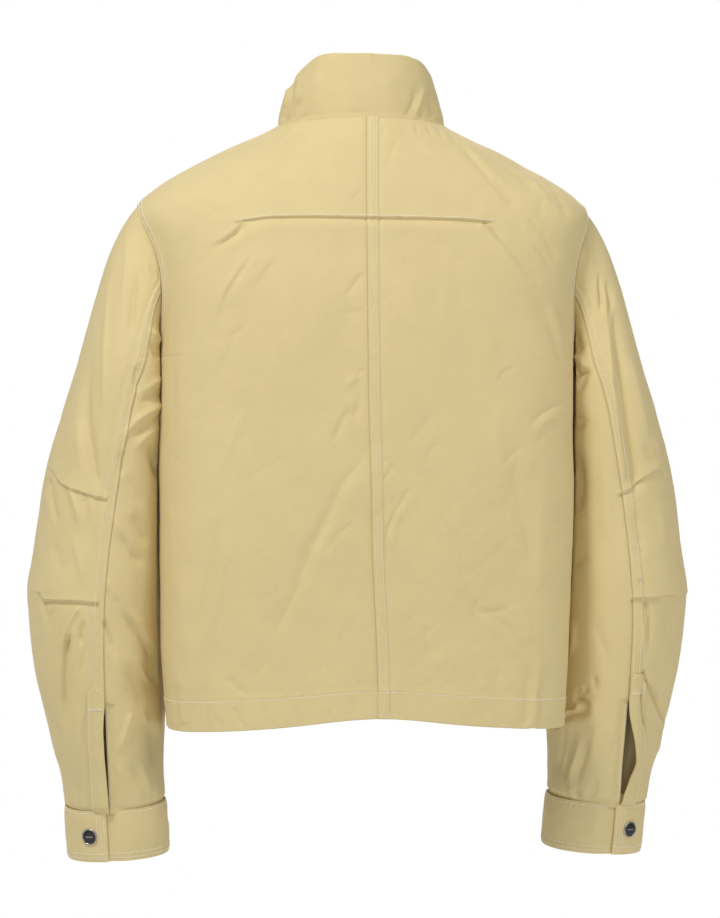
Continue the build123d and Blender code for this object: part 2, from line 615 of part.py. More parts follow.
Q_CUT, Q_ELB, Q_CUFF = float(q_of(SLEEVE_CUT_V)), float(q_of(ELBOW_END_V)), float(q_of(CUFF_TOP_V + 1.8))
UNDER = radians(188)
for nm, sd in SIDES:
    # sleeve head: one ring slit at the underarm
    q = np.concatenate([[0.012], np.linspace(0.08, 0.985, 9)])
    P, C = sleeve_grid(q, lambda t: UNDER - 2 * pi + 0.006, lambda t: UNDER - 0.006, 41)
    put_skin(nm + "_sleeve_head", sided(P, sd), FABRIC_T, sided(C, sd))
    # upper sleeve: top panel over the outside, under panel against the body
    q = np.linspace(1.0, Q_CUT, 7)
    P, C = sleeve_grid(q, lambda t: radians(-108) + 0.002, lambda t: th_back(t) - 0.002, 19)
    put_skin(nm + "_top_sleeve_upper", sided(P, sd), FABRIC_T, sided(C, sd))
    P, C = sleeve_grid(q, lambda t: th_back(t) + 0.002, lambda t: radians(252) - 0.002, 17)
    put_skin(nm + "_under_sleeve_upper", sided(P, sd), FABRIC_T, sided(C, sd))
    # elbow: the part that bends
    q = np.linspace(Q_CUT + 0.004, Q_ELB - 0.004, 8)
    P, C = sleeve_grid(q, lambda t: UNDER - 2 * pi + 0.003, lambda t: UNDER - 0.003, 33)
    put_skin(nm + "_sleeve_elbow", sided(P, sd), FABRIC_T, sided(C, sd))
    # lower sleeve; the back seam ends in the placket's slit
    q = np.linspace(Q_ELB, Q_CUFF, 8)
    P, C = sleeve_grid(q, lambda t: radians(-108) + 0.002, lambda t: th_back(t) - 0.004, 19)
    put_skin(nm + "_top_sleeve_lower", sided(P, sd), FABRIC_T, sided(C, sd))
    P, C = sleeve_grid(q, lambda t: th_back(t) + 0.004, lambda t: radians(252) - 0.002, 17)
    put_skin(nm + "_under_sleeve_lower", sided(P, sd), FABRIC_T, sided(C, sd))
    # placket's under layer, behind the slit
    q = np.linspace(float(q_of(-575.0)), Q_CUFF - 0.004, 6)
    P, C = sleeve_grid(q, lambda t: th_back(t) - radians(16), lambda t: th_back(t) + radians(14), 7, FABRIC_T + 0.3)
    put_skin(nm + "_placket_underlay", sided(P, sd), 1.2, sided(C, sd))
    # sleeve lining, upper and lower
    q = np.linspace(1.05, Q_CUT, 6)
    P, C = sleeve_grid(q, lambda t: UNDER - 2 * pi + 0.004, lambda t: UNDER - 0.004, 57, FABRIC_T + 3.2)
    put_skin(nm + "_sleeve_lining_upper", sided(P, sd), LINING_T, sided(C, sd))
    q = np.linspace(Q_ELB, float(q_of(-672.0)), 7)
    P, C = sleeve_grid(q, lambda t: UNDER - 2 * pi + 0.004, lambda t: UNDER - 0.004, 33, FABRIC_T + 1.9)
    put_skin(nm + "_sleeve_lining_lower", sided(P, sd), LINING_T, sided(C, sd))

# ---------------------------------------------------------------- cuffs
CU_W, CU_D = 50.6, 42.2                 # cuff's half width and half depth, outer face of the band
v0, v1 = CUFF_TOP_V, CUFF_END_V
vm = (v0 + v1) / 2


def cuff_frame():
    def c(v):
        return np.array([float(SL_OUT(v) + SL_IN(v)) / 2, float(SL_CY(v)), v])
    a, b = c(v0), c(v1)
    ax = (b - a) / np.linalg.norm(b - a)
    ex = np.array([1.0, 0, 0]) - ax * ax[0]
    ex = ex / np.linalg.norm(ex)
    ey = np.cross(ax, ex)
    if ey[1] < 0:
        ey = -ey
    return a, b, ax, ex, ey


CA, CB, CAX, CEX, CEY = cuff_frame()
CUFF_LEN = float(np.linalg.norm(CB - CA))
CUFF_END_SHIFT = CB - CA


def cuff_pt(t, th, out=0.0):
    """t 0 top, 1 bottom of the cuff; th as on the sleeve; out from the band's outer face"""
    t, th = np.broadcast_arrays(np.asarray(t, float), np.asarray(th, float))
    r = 0.6 * np.sin(pi * t)
    c, s = np.cos(th), np.sin(th)
    lx = (CU_W + r) * np.sign(c) * np.abs(c) ** (2 / 2.2)
    ly = (CU_D + r) * np.sign(s) * np.abs(s) ** (2 / 2.2)
    nx, ny = lx / CU_W ** 2, ly / CU_D ** 2
    nn = np.hypot(nx, ny)
    lx, ly = lx + nx / nn * out, ly + ny / nn * out
    return CA + t[..., None] * (CB - CA) + lx[..., None] * CEX + ly[..., None] * CEY


def cuff_grid(t, th, out):
    P = np.array([[cuff_pt(a, b, out) for b in th] for a in t])
    C = np.array([[CA + a * (CB - CA)] * len(th) for a in t])
    return P, C


HINGE_TH, TAB_TH, UNDERLAP_TH = radians(18), radians(76), radians(30)
TAB_T = 1.9
TAB_OUT = 1.3                          # gap between the tab and the band beneath it
ts = np.array([0.0, 0.25, 0.5, 0.75, 1.0])
for nm, sd in SIDES:
    # band: from the hinge line round the front, the inside and the back, then on beneath the tab
    th = np.linspace(HINGE_TH - 0.012, UNDERLAP_TH - 2 * pi, 49)
    ramp = np.clip((np.radians(88) - 2 * pi - th) / -radians(20), 0, 1)
    P = np.array([[cuff_pt(a, b, 0.0) for b, r in zip(th, ramp)] for a in ts])
    lo = np.clip((th - (radians(96) - 2 * pi)) / -radians(16), 0, 1)   # sinks by the tab's thickness under the tab
    P = np.array([[cuff_pt(a, b, -(TAB_T + TAB_OUT) * float(k)) for b, k in zip(th, lo)] for a in ts])
    C = np.array([[CA + a * (CB - CA)] * len(th) for a in ts])
    N = away(sided(P, sd), sided(C, sd))
    band_solid = skin(sided(P, sd), sided(P, sd) - N * CUFF_T)[0]
    th = np.linspace(HINGE_TH + 0.012, TAB_TH, 13)
    P, C = cuff_grid(ts, th, 0.0)
    N = away(sided(P, sd), sided(C, sd))
    tab_solid = skin(sided(P, sd), sided(P, sd) - N * TAB_T)[0]
    # snap: cap and its socket on the tab, stud on the band
    sth = radians(56)
    p = cuff_pt(0.5, sth, 0.0)
    n = (cuff_pt(0.5, sth, 1.0) - p)
    n = n / np.linalg.norm(n)
    pl = Plane(origin=tuple(map(float, p * [sd, 1, 1])), z_dir=tuple(map(float, n * [sd, 1, 1])))

    def disc(r, h0, h1):
        return pl * (Pos(0, 0, (h0 + h1) / 2) * Cylinder(r, h1 - h0))
    cap_s = disc(SNAP_D / 2, 0.15, 1.75)
    cap_s = chamfer(cap_s.edges().group_by(lambda e: (e.center() - Vector(*map(float, (p + n * 1.75) * [sd, 1, 1]))).length)[0], 0.6)
    post = disc(1.8, -TAB_T, 0.3)
    put(nm + "_snap_cap", (cap_s + post).solid())
    put(nm + "_snap_socket", (disc(4.6, -TAB_T - 0.95, -TAB_T - 0.33) - disc(2.7, -TAB_T - 2.0, 0.0)).solid())
    band_top = -(TAB_T + TAB_OUT)
    stud = disc(2.2, band_top + 0.12, band_top + 0.9) + disc(1.6, band_top - CUFF_T - 0.6, band_top + 0.3)
    put(nm + "_snap_stud", (stud + disc(4.6, band_top - CUFF_T - 1.3, band_top - CUFF_T - 0.45)).solid())
    put(nm + "_cuff_tab", (tab_solid - disc(2.0, -TAB_T - 3, 2.0)).solid())
    put(nm + "_cuff_band", (band_solid - disc(1.8, band_top - CUFF_T - 3, band_top + 2.0)).solid())

print(len(made), "nodes")
print("shoulder pivot", (float(212), 0.0, -175.0))
print("pull pivot", PULL_PIVOT, "zip direction", zdir, "out", zout)
print("cuff axis", CAX, "hinge point top", cuff_pt(0.0, HINGE_TH, 0.3), "bottom", cuff_pt(1.0, HINGE_TH, 0.3))
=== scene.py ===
import math
import bpy
import numpy as np
from math import pi, radians, sin, cos
from mathutils import Vector, Matrix, kdtree


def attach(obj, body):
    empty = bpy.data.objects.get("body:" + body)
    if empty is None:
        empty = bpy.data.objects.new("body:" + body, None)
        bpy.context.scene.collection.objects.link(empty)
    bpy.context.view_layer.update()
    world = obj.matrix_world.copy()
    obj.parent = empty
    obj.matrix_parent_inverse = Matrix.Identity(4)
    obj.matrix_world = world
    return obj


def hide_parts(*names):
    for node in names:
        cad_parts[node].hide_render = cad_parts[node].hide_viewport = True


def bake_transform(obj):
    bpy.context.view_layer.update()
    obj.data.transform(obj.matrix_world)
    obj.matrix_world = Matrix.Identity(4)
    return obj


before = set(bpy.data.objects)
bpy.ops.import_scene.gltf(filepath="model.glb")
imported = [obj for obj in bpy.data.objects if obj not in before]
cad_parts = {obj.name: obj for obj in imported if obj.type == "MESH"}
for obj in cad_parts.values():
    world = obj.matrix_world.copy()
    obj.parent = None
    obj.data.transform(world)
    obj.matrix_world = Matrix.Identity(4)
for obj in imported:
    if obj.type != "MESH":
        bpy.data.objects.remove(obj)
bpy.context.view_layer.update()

# Stand-collar zip jacket. All shapes below are worked out in millimetres in the row frame
# (+Z up, +Y out of the back, +X the wearer's left) and written to Blender in metres.

FABRIC_T, HEM_Z, HEM_H = 1.6, -600.0, 28.0
SLEEVE_CUT_V, ELBOW_END_V = -376.0, -520.0
CUFF_TOP_V, CUFF_END_V = -679.0, -729.0

def pchip(xs, ys):
    """monotone cubic through a table"""
    xs = np.asarray(xs, float)
    ys = np.asarray(ys, float)
    if xs[0] > xs[-1]:
        xs, ys = xs[::-1], ys[::-1]
    h = np.diff(xs)
    d = np.diff(ys) / h
    m = np.zeros(len(xs))
    m[0], m[-1] = d[0], d[-1]
    for i in range(1, len(xs) - 1):
        if d[i - 1] * d[i] > 0:
            w1, w2 = 2 * h[i] + h[i - 1], h[i] + 2 * h[i - 1]
            m[i] = (w1 + w2) / (w1 / d[i - 1] + w2 / d[i])

    def f(x):
        x = np.clip(np.asarray(x, float), xs[0], xs[-1])
        k = np.clip(np.searchsorted(xs, x) - 1, 0, len(h) - 1)
        t = (x - xs[k]) / h[k]
        return ((1 + 2 * t) * (1 - t) ** 2 * ys[k] + t * (1 - t) ** 2 * h[k] * m[k]
                + t * t * (3 - 2 * t) * ys[k + 1] + t * t * (t - 1) * h[k] * m[k + 1])
    return f


# torso: horizontal sections, mm. Half width, back depth, front depth, depth of the widest point, roundness
T_A = pchip([-4, -12, -24, -36, -48, -60, -66, -72, -78, -84, -90, -96, -105, -118, -135, -160, -200, -240, -300,
             -360, -420, -480, -540, -570, -590, -615],
            [83, 97, 125, 150, 173, 194, 203, 211, 218, 223, 226, 227, 225.5, 221, 215, 209.5, 206.5, 206, 206,
             207, 206.5, 205, 202.5, 200, 198, 196])
T_YB = pchip([-4, -12, -24, -48, -76, -127, -180, -240, -300, -400, -500, -615],
             [64, 71, 79, 91, 102, 113, 118.5, 119.5, 118.5, 115.5, 112, 109])
T_YF = pchip([-4, -12, -24, -36, -48, -60, -75], [-66, -71, -77, -83, -89, -94.5, -100])
T_Y0 = pchip([-4, -60, -127, -180, -240, -400, -615], [0, 0, 6, 18, 30, 34, 30])
T_NB = pchip([-4, -40, -76, -110, -150, -240, -500, -615], [2.0, 2.05, 2.3, 2.8, 3.1, 2.9, 2.8, 2.7])
T_NF = pchip([-4, -40, -76, -150, -240, -615], [2.0, 2.0, 2.1, 2.25, 2.2, 2.15])
CF_SLOPE = 0.03804


def cf_y(z):
    """centre-front line: straight, so a zip slider can run along it"""
    return -100.0 + CF_SLOPE * (np.asarray(z, float) + 75)


NS = 401


def section(z):
    a, yb, y0, nb, nf = (float(f(z)) for f in (T_A, T_YB, T_Y0, T_NB, T_NF))
    yf = float(cf_y(z)) if z < -75 else float(T_YF(z))
    t = np.linspace(0, pi / 2, 700)
    x = np.concatenate([a * np.sin(t) ** (2 / nb), a * np.cos(t[1:]) ** (2 / nf)])
    y = np.concatenate([y0 + (yb - y0) * np.cos(t) ** (2 / nb), y0 - (y0 - yf) * np.sin(t[1:]) ** (2 / nf)])
    l = np.concatenate([[0], np.cumsum(np.hypot(np.diff(x), np.diff(y)))])
    s = np.linspace(0, l[-1], NS)
    return np.interp(s, l, x), np.interp(s, l, y), l[-1]


ZS = np.arange(-614.0, -3.0, 2.0)
SEC = [section(z) for z in ZS]
SEC_X = np.array([q[0] for q in SEC])
SEC_Y = np.array([q[1] for q in SEC])
SEC_L = np.array([q[2] for q in SEC])
ARM_ZC, ARM_H, ARM_YC, ARM_B, ARM_F = -162.0, 76.0, 0.0, 53.0, 66.0
ARM_TOP, ARM_LOW = ARM_ZC + ARM_H, ARM_ZC - ARM_H


def _bil(tab, z, s):
    fz = np.clip((np.asarray(z, float) - ZS[0]) / 2.0, 0, len(ZS) - 1.0001)
    fs = np.clip(np.asarray(s, float) * (NS - 1), 0, NS - 1.0001)
    i, j = fz.astype(int), fs.astype(int)
    a, b = fz - i, fs - j
    return ((1 - a) * (1 - b) * tab[i, j] + a * (1 - b) * tab[i + 1, j]
            + (1 - a) * b * tab[i, j + 1] + a * b * tab[i + 1, j + 1])


def torso(z, s):
    """+X side of the torso: height z, share s of the way round from centre back (0) to centre front (1)"""
    z, s = np.broadcast_arrays(np.asarray(z, float), np.asarray(s, float))
    return np.stack([_bil(SEC_X, z, s), _bil(SEC_Y, z, s), z], -1)


def s_at_y(z, y):
    """share s where the section at height z passes depth y"""
    z, y = np.broadcast_arrays(np.asarray(z, float), np.asarray(y, float))
    out = np.zeros(z.shape)
    for k, zz in np.ndenumerate(z):
        f = np.clip((zz - ZS[0]) / 2.0, 0, len(ZS) - 1.0001)
        i = int(f)
        row = SEC_Y[i] * (1 - f + i) + SEC_Y[i + 1] * (f - i)
        out[k] = np.interp(-y[k], -row, np.linspace(0, 1, NS))
    return out


def s_at_x(z, x):
    """share s on the front half where the section at height z has half width x"""
    z, x = np.broadcast_arrays(np.asarray(z, float), np.asarray(x, float))
    out = np.zeros(z.shape)
    for k, zz in np.ndenumerate(z):
        f = np.clip((zz - ZS[0]) / 2.0, 0, len(ZS) - 1.0001)
        i = int(f)
        row = SEC_X[i] * (1 - f + i) + SEC_X[i + 1] * (f - i)
        m = int(np.argmax(row))
        out[k] = np.interp(-x[k], -row[m:], np.linspace(0, 1, NS)[m:])
    return out


def edge_s(z, back=True):
    """side edge of a body panel: shoulder seam, armhole, side seam"""
    z = np.asarray(z, float)
    c = np.clip((z - ARM_ZC) / ARM_H, -1, 1)
    w = np.sqrt(1 - c * c)
    return s_at_y(z, ARM_YC + (ARM_B if back else -ARM_F) * w)


NECK_R, NECK_B, NECK_F = 83.0, 64.0, 100.0


def neck_s(z):
    """front neckline at heights -75 to -4"""
    z = np.atleast_1d(np.asarray(z, float))
    out = np.zeros(z.shape)
    for k, zz in np.ndenumerate(z):
        p = torso(zz, np.linspace(0, 1, NS))
        m = int(np.argmax(p[:, 0]))
        f = (p[m:, 0] / NECK_R) ** 2 + (p[m:, 1] / NECK_F) ** 2 - 1
        i = np.where(f < 0)[0]
        if len(i) == 0:
            out[k] = 1.0
        else:
            i = max(int(i[0]), 1)
            t = f[i - 1] / (f[i - 1] - f[i]) if f[i - 1] > f[i] else 0
            out[k] = (m + i - 1 + min(max(t, 0), 1)) / (NS - 1)
    return out


def hem_lift(s):
    """the hem rises a little at the centre back"""
    return 11.0 * np.exp(-(np.asarray(s, float) / 0.16) ** 2) - 2.0 * np.exp(-((np.asarray(s, float) - 0.36) / 0.10) ** 2)


def body(z, s):
    """torso surface with the hem line's rise, z -4 to -600"""
    z, s = np.broadcast_arrays(np.asarray(z, float), np.asarray(s, float))
    k = np.clip((-420 - z) / 180.0, 0, 1.1) ** 1.5
    return torso(z + hem_lift(s) * k, s)


# sleeve (+X side): outer and inner silhouette, centre depth, half depth against the centre line's height v
SL_OUT = pchip([-228, -252, -276, -300, -324, -348, -372, -396, -420, -444, -468, -492, -516, -540, -564, -588,
                -612, -636, -660, -684, -708, -742],
               [279, 286.5, 294.5, 302, 310, 316, 320.5, 323.5, 326.5, 330, 333.5, 332, 329.5, 326, 320.5, 314.5,
                309, 301.5, 296, 293, 291.5, 289.5])
SL_IN = pchip([-232, -300, -400, -500, -600, -660, -690, -742], [190, 190, 192, 194, 194, 196, 194, 190])
SL_CY = pchip([-232, -300, -400, -450, -500, -550, -600, -650, -700, -742],
              [-6, -7, -8, -7, -9, -13, -18, -23, -29, -34])
SL_D = pchip([-232, -300, -400, -470, -550, -600, -650, -684, -742], [78, 77, 74, 71, 63, 56, 48, 42.5, 41])
TILT = pchip([-262, -360, -450, -560, -640, -742], [0, 0.0, 0.35, 0.85, 1.0, 1.0])
SL_V1 = -262.0


def tube(v, th):
    """sleeve below the cap: th 0 outer, 90 back, 180 inner, 270 front"""
    v, th = np.broadcast_arrays(np.asarray(v, float), np.asarray(th, float))
    e = 4.0
    cx, w = (SL_OUT(v) + SL_IN(v)) / 2, (SL_OUT(v) - SL_IN(v)) / 2
    tx = ((SL_OUT(v + e) + SL_IN(v + e)) - (SL_OUT(v - e) + SL_IN(v - e))) / (4 * e)
    ty = (SL_CY(v + e) - SL_CY(v - e)) / (2 * e)
    c, s = np.cos(th), np.sin(th)
    lx = w * np.sign(c) * np.abs(c) ** (2 / 2.15)
    ly = SL_D(v) * np.sign(s) * np.abs(s) ** (2 / 2.15)
    return np.stack([cx + lx, SL_CY(v) + ly, v - TILT(v) * (tx * lx + ty * ly)], -1)


def arm_ring(th):
    """armhole seam by the sleeve's angle"""
    th = np.asarray(th, float)
    z = ARM_ZC + ARM_H * np.cos(th) * 0.9995
    y = ARM_YC + np.where(np.sin(th) > 0, ARM_B, ARM_F) * np.sin(th)
    return torso(z, s_at_y(z, y))


def cap(u, th):
    """sleeve head between the armhole (u 0) and the ring at SL_V1 (u 1)"""
    u, th = np.broadcast_arrays(np.asarray(u, float), np.asarray(th, float))
    tk = np.linspace(0, 2 * pi, 721)
    rk = arm_ring(tk)
    tm = np.mod(th, 2 * pi)
    R = np.stack([np.interp(tm, tk, rk[:, i]) for i in range(3)], -1)
    Q = tube(np.full(th.shape, SL_V1), th)
    D = tube(np.full(th.shape, SL_V1 - 3.0), th) - tube(np.full(th.shape, SL_V1 + 3.0), th)
    D = D / np.linalg.norm(D, axis=-1, keepdims=True)
    ch = Q - R
    L = np.linalg.norm(ch, axis=-1, keepdims=True)
    g = (0.5 + 0.5 * np.cos(th))[..., None]
    m0 = ch / L + np.array([1.0, 0, 0]) * (0.10 + 0.42 * g ** 1.5)
    m0 = m0 / np.linalg.norm(m0, axis=-1, keepdims=True) * L * (0.55 + 0.25 * g)
    m1 = D * L * 1.05
    u = u[..., None]
    return ((2 * u ** 3 - 3 * u ** 2 + 1) * R + (u ** 3 - 2 * u ** 2 + u) * m0
            + (-2 * u ** 3 + 3 * u ** 2) * Q + (u ** 3 - u ** 2) * m1)


_SY = np.arange(-132.0, 133.0, 2.0)
_SIDE = np.array([np.interp(-_SY, -SEC_Y[i], SEC_X[i], left=0, right=0) for i in range(len(ZS))])


def torso_x(y, z):
    """half width of the torso at depth y and height z"""
    fz = np.clip((z - ZS[0]) / 2.0, 0, len(ZS) - 1.0001)
    fy = np.clip((y - _SY[0]) / 2.0, 0, len(_SY) - 1.0001)
    i, j = fz.astype(int), fy.astype(int)
    a, b = fz - i, fy - j
    return ((1 - a) * (1 - b) * _SIDE[i, j] + a * (1 - b) * _SIDE[i + 1, j]
            + (1 - a) * b * _SIDE[i, j + 1] + a * b * _SIDE[i + 1, j + 1])


SIDE_GAP = 3.0


def sleeve(q, th):
    """+X sleeve's outer face: q 0 armhole, 1 at SL_V1, then 1 per 100 mm of height"""
    q, th = np.broadcast_arrays(np.asarray(q, float), np.asarray(th, float))
    P = np.where((q < 1)[..., None], cap(np.clip(q, 0, 1), th), tube(SL_V1 - (np.maximum(q, 1) - 1) * 100.0, th))
    k = np.clip(q / 0.25, 0, 1) * np.clip((P[..., 2] + 614) / 14.0, 0, 1)
    push = np.maximum(torso_x(P[..., 1], P[..., 2]) + SIDE_GAP - P[..., 0], 0) * k
    P = P.copy()
    P[..., 0] += push
    return P


def q_of(v):
    return 1 + (SL_V1 - np.asarray(v, float)) / 100.0


C_TX = pchip([0, 20, 40, 60, 75, 90, 110, 135, 160, 180], [0, 26, 47, 63, 72, 75.5, 73, 57, 29, 0])
C_TY = pchip([0, 20, 40, 60, 75, 90, 110, 135, 160, 180], [62, 58, 47, 28, 6, -18, -48, -78, -93, -97.7])
C_TZ = pchip([0, 20, 40, 60, 75, 90, 110, 135, 160, 180], [65, 64, 59.5, 49, 37, 26, 13, 1, -9, -13])
_NZ = np.linspace(-4, -75, 143)
_NP = torso(_NZ, neck_s(_NZ))
_NA = np.arctan2(_NP[:, 0] / NECK_R, _NP[:, 1] / NECK_F)
_NA[0], _NA[-1] = pi / 2, pi


def neck_ring(phi):
    """collar seam: phi 0 centre back, 90 side, 180 centre front"""
    phi = np.asarray(phi, float)
    b = phi <= pi / 2
    z = np.where(b, -4 + 4 * np.cos(phi) ** 2, np.interp(phi, _NA, _NZ))
    return np.stack([NECK_R * np.sin(phi), np.where(b, NECK_B, NECK_F) * np.cos(phi), z], -1)


def collar(phi, h):
    """collar's outer face: h 0 at the seam, 1 at the top edge; phi negative on the -X side"""
    phi, h = np.broadcast_arrays(np.asarray(phi, float), np.asarray(h, float))
    sg = np.where(phi < 0, -1.0, 1.0)
    p = np.abs(phi)
    d = np.degrees(p)
    B = neck_ring(p)
    T = np.stack([C_TX(d), C_TY(d), C_TZ(d)], -1)
    hh = h[..., None]
    P = B * (1 - hh) + T * hh
    bul = np.sin(pi * h) * 1.8 * np.sqrt(np.clip(np.sin(p), 0, 1)) * np.clip((pi * 0.92 - p) / 0.3, 0, 1)
    P = P + np.stack([np.sin(p), np.cos(p), 0 * p], -1) * bul[..., None]
    P[..., 0] *= sg
    return P


# ---------------------------------------------------------------- small tools
def unit(a):
    return a / np.maximum(np.linalg.norm(a, axis=-1, keepdims=True), 1e-9)


def ease(x):
    x = np.clip(x, 0, 1)
    return x * x * (3 - 2 * x)


def flip(P):
    Q = np.array(P, float)
    Q[..., 0] *= -1
    return Q


def sided(P, sd):
    return np.array(P, float) if sd > 0 else flip(P)


def grid_normals(P, out):
    """unit normals of a point grid, on the same side as the vectors out"""
    n = unit(np.cross(np.gradient(P, axis=0), np.gradient(P, axis=1)))
    s = np.sum(n * out, axis=-1)
    return n * (1.0 if np.sum(s) >= 0 else -1.0)


def noise(p, scale, seed=0):
    """smooth value noise from -1 to 1; p (..., 3) in mm, scale a number or three"""
    q = np.asarray(p, float) / np.asarray(scale, float) + 17.31 * seed + 0.37
    i = np.floor(q).astype(np.int64)
    f = q - i
    f = f * f * f * (f * (f * 6 - 15) + 10)
    out = 0.0
    for a in (0, 1):
        for b in (0, 1):
            for c in (0, 1):
                h = ((i[..., 0] + a) * 374761393 + (i[..., 1] + b) * 668265263 + (i[..., 2] + c) * 1442695041
                     + seed * 974634777) & 0xffffffff
                h = ((h ^ (h >> 13)) * 1274126177) & 0xffffffff
                v = ((h ^ (h >> 16)) & 0xffff) / 32767.5 - 1
                w = ((f[..., 0] if a else 1 - f[..., 0]) * (f[..., 1] if b else 1 - f[..., 1])
                     * (f[..., 2] if c else 1 - f[..., 2]))
                out = out + v * w
    return out


def turned(p, ax, ang):
    """coordinates turned by ang degrees about axis ax, for noise with a slanted grain"""
    c, s = cos(radians(ang)), sin(radians(ang))
    p = np.array(p, float)
    i, j = [(1, 2), (2, 0), (0, 1)][ax]
    a, b = p[..., i].copy(), p[..., j].copy()
    p[..., i], p[..., j] = c * a - s * b, s * a + c * b
    return p


# Folds are laid out on a drawing sheet of the jacket's back: the back seen from 4 m, turned by 8.5 degrees,
# u to the right and v down, one unit a millimetre at the body's axis.
AZ = radians(8.5)
SA, CA_ = sin(AZ), cos(AZ)
BACK_VIEW = np.array([SA, CA_, 0.0])


def sheet(P):
    x, y, z = P[..., 0], P[..., 1], P[..., 2]
    k = 4000.0 / (4000.0 - (x * SA + y * CA_))
    return np.stack([361.5 - (x * CA_ - y * SA) * k, 459.0 + (-z - 337.0) * k], -1)


def smooth_line(pts, step=4.0):
    pts = np.asarray(pts, float)
    l = np.concatenate([[0], np.cumsum(np.linalg.norm(np.diff(pts[:, :2], axis=0), axis=1))])
    t = np.linspace(0, l[-1], max(3, int(l[-1] / step) + 1))
    if len(pts) < 3:
        return np.stack([np.interp(t, l, pts[:, k]) for k in range(pts.shape[1])], -1)
    return np.stack([pchip(l, pts[:, k])(t) for k in range(pts.shape[1])], -1)


def near(uv, line, reach):
    """points within reach of a line: mask, distance, share along it, side (+1 left of it when walking down)"""
    lo, hi = line[:, :2].min(0) - reach, line[:, :2].max(0) + reach
    m = np.all((uv > lo) & (uv < hi), axis=-1)
    p = uv[m]
    best, t, sd = np.full(len(p), 1e9), np.zeros(len(p)), np.ones(len(p))
    seg = np.linalg.norm(np.diff(line[:, :2], axis=0), axis=1)
    cum = np.concatenate([[0], np.cumsum(seg)])
    for i in range(len(seg)):
        a = line[i, :2]
        ab = line[i + 1, :2] - a
        w = np.clip(((p - a) @ ab) / max(ab @ ab, 1e-9), 0, 1)
        d = p - a - w[:, None] * ab
        q = np.hypot(d[:, 0], d[:, 1])
        k = q < best
        best[k] = q[k]
        t[k] = (cum[i] + w[k] * seg[i]) / cum[-1]
        sd[k] = np.where(ab[0] * d[k, 1] - ab[1] * d[k, 0] >= 0, 1, -1)
    return m, best, t, sd


def crease(d, uv, pts, amp, wa, wb=None, kind="v", e0=0.2, e1=0.25, w0=1.2, p=1.5):
    """adds one fold to displacement d. kind v valley, r ridge, s step (raised on the + side, sunk on the other)"""
    wb = wa if wb is None else wb
    line = smooth_line(pts)
    m, q, t, sd = near(uv, line, 3.0 * max(wa, wb))
    if not m.any():
        return
    f = ease(t / max(e0, 1e-3)) * ease((1 - t) / max(e1, 1e-3))
    w = np.where(sd > 0, wa, wb)
    if kind == "v":
        g = -np.exp(-(q / w) ** p)
    elif kind == "r":
        g = np.exp(-(q / w) ** p)
    else:
        g = sd * np.tanh(q / w0) * np.exp(-(q / w) ** p)
    d[m] += amp * f * g


def folds(d, uv, table, gain=1.0):
    for row in table:
        pts, amp, kw = row[0], row[1], (row[2] if len(row) > 2 else {})
        crease(d, uv, pts, amp * gain, **kw)


# ---------------------------------------------------------------- meshes
def new_object(name, V, F, mat, N=None, UV=None):
    """V in mm, F quads; N one normal per vertex; UV one pair per vertex"""
    V = np.asarray(V, np.float32) * 0.001
    F = np.asarray(F, np.int32)
    me = bpy.data.meshes.new(name)
    me.vertices.add(len(V))
    me.vertices.foreach_set("co", V.ravel())
    me.loops.add(F.size)
    me.loops.foreach_set("vertex_index", F.ravel())
    me.polygons.add(len(F))
    me.polygons.foreach_set("loop_start", np.arange(0, F.size, 4, dtype=np.int32))
    me.polygons.foreach_set("loop_total", np.full(len(F), 4, np.int32))
    me.polygons.foreach_set("use_smooth", np.ones(len(F), bool))
    me.update(calc_edges=True)
    if UV is not None:
        lay = me.uv_layers.new(name="cloth")
        lay.data.foreach_set("uv", np.asarray(UV, np.float32)[F.ravel()].ravel())
    me.validate(clean_customdata=False)
    if N is not None and len(me.vertices) == len(N):
        me.normals_split_custom_set_from_vertices(np.asarray(N, np.float32).tolist())
    o = bpy.data.objects.new(name, me)
    bpy.context.scene.collection.objects.link(o)
    me.materials.append(mat)
    return o


def wind(V, F, N):
    """turns the faces so that they look the same way as the normals"""
    k = np.linspace(0, len(F) - 1, min(len(F), 600)).astype(int)
    a, b, c = V[F[k, 0]], V[F[k, 1]], V[F[k, 3]]
    if np.sum(np.cross(b - a, c - a) * N[F[k, 0]]) < 0:
        return F[:, ::-1]
    return F


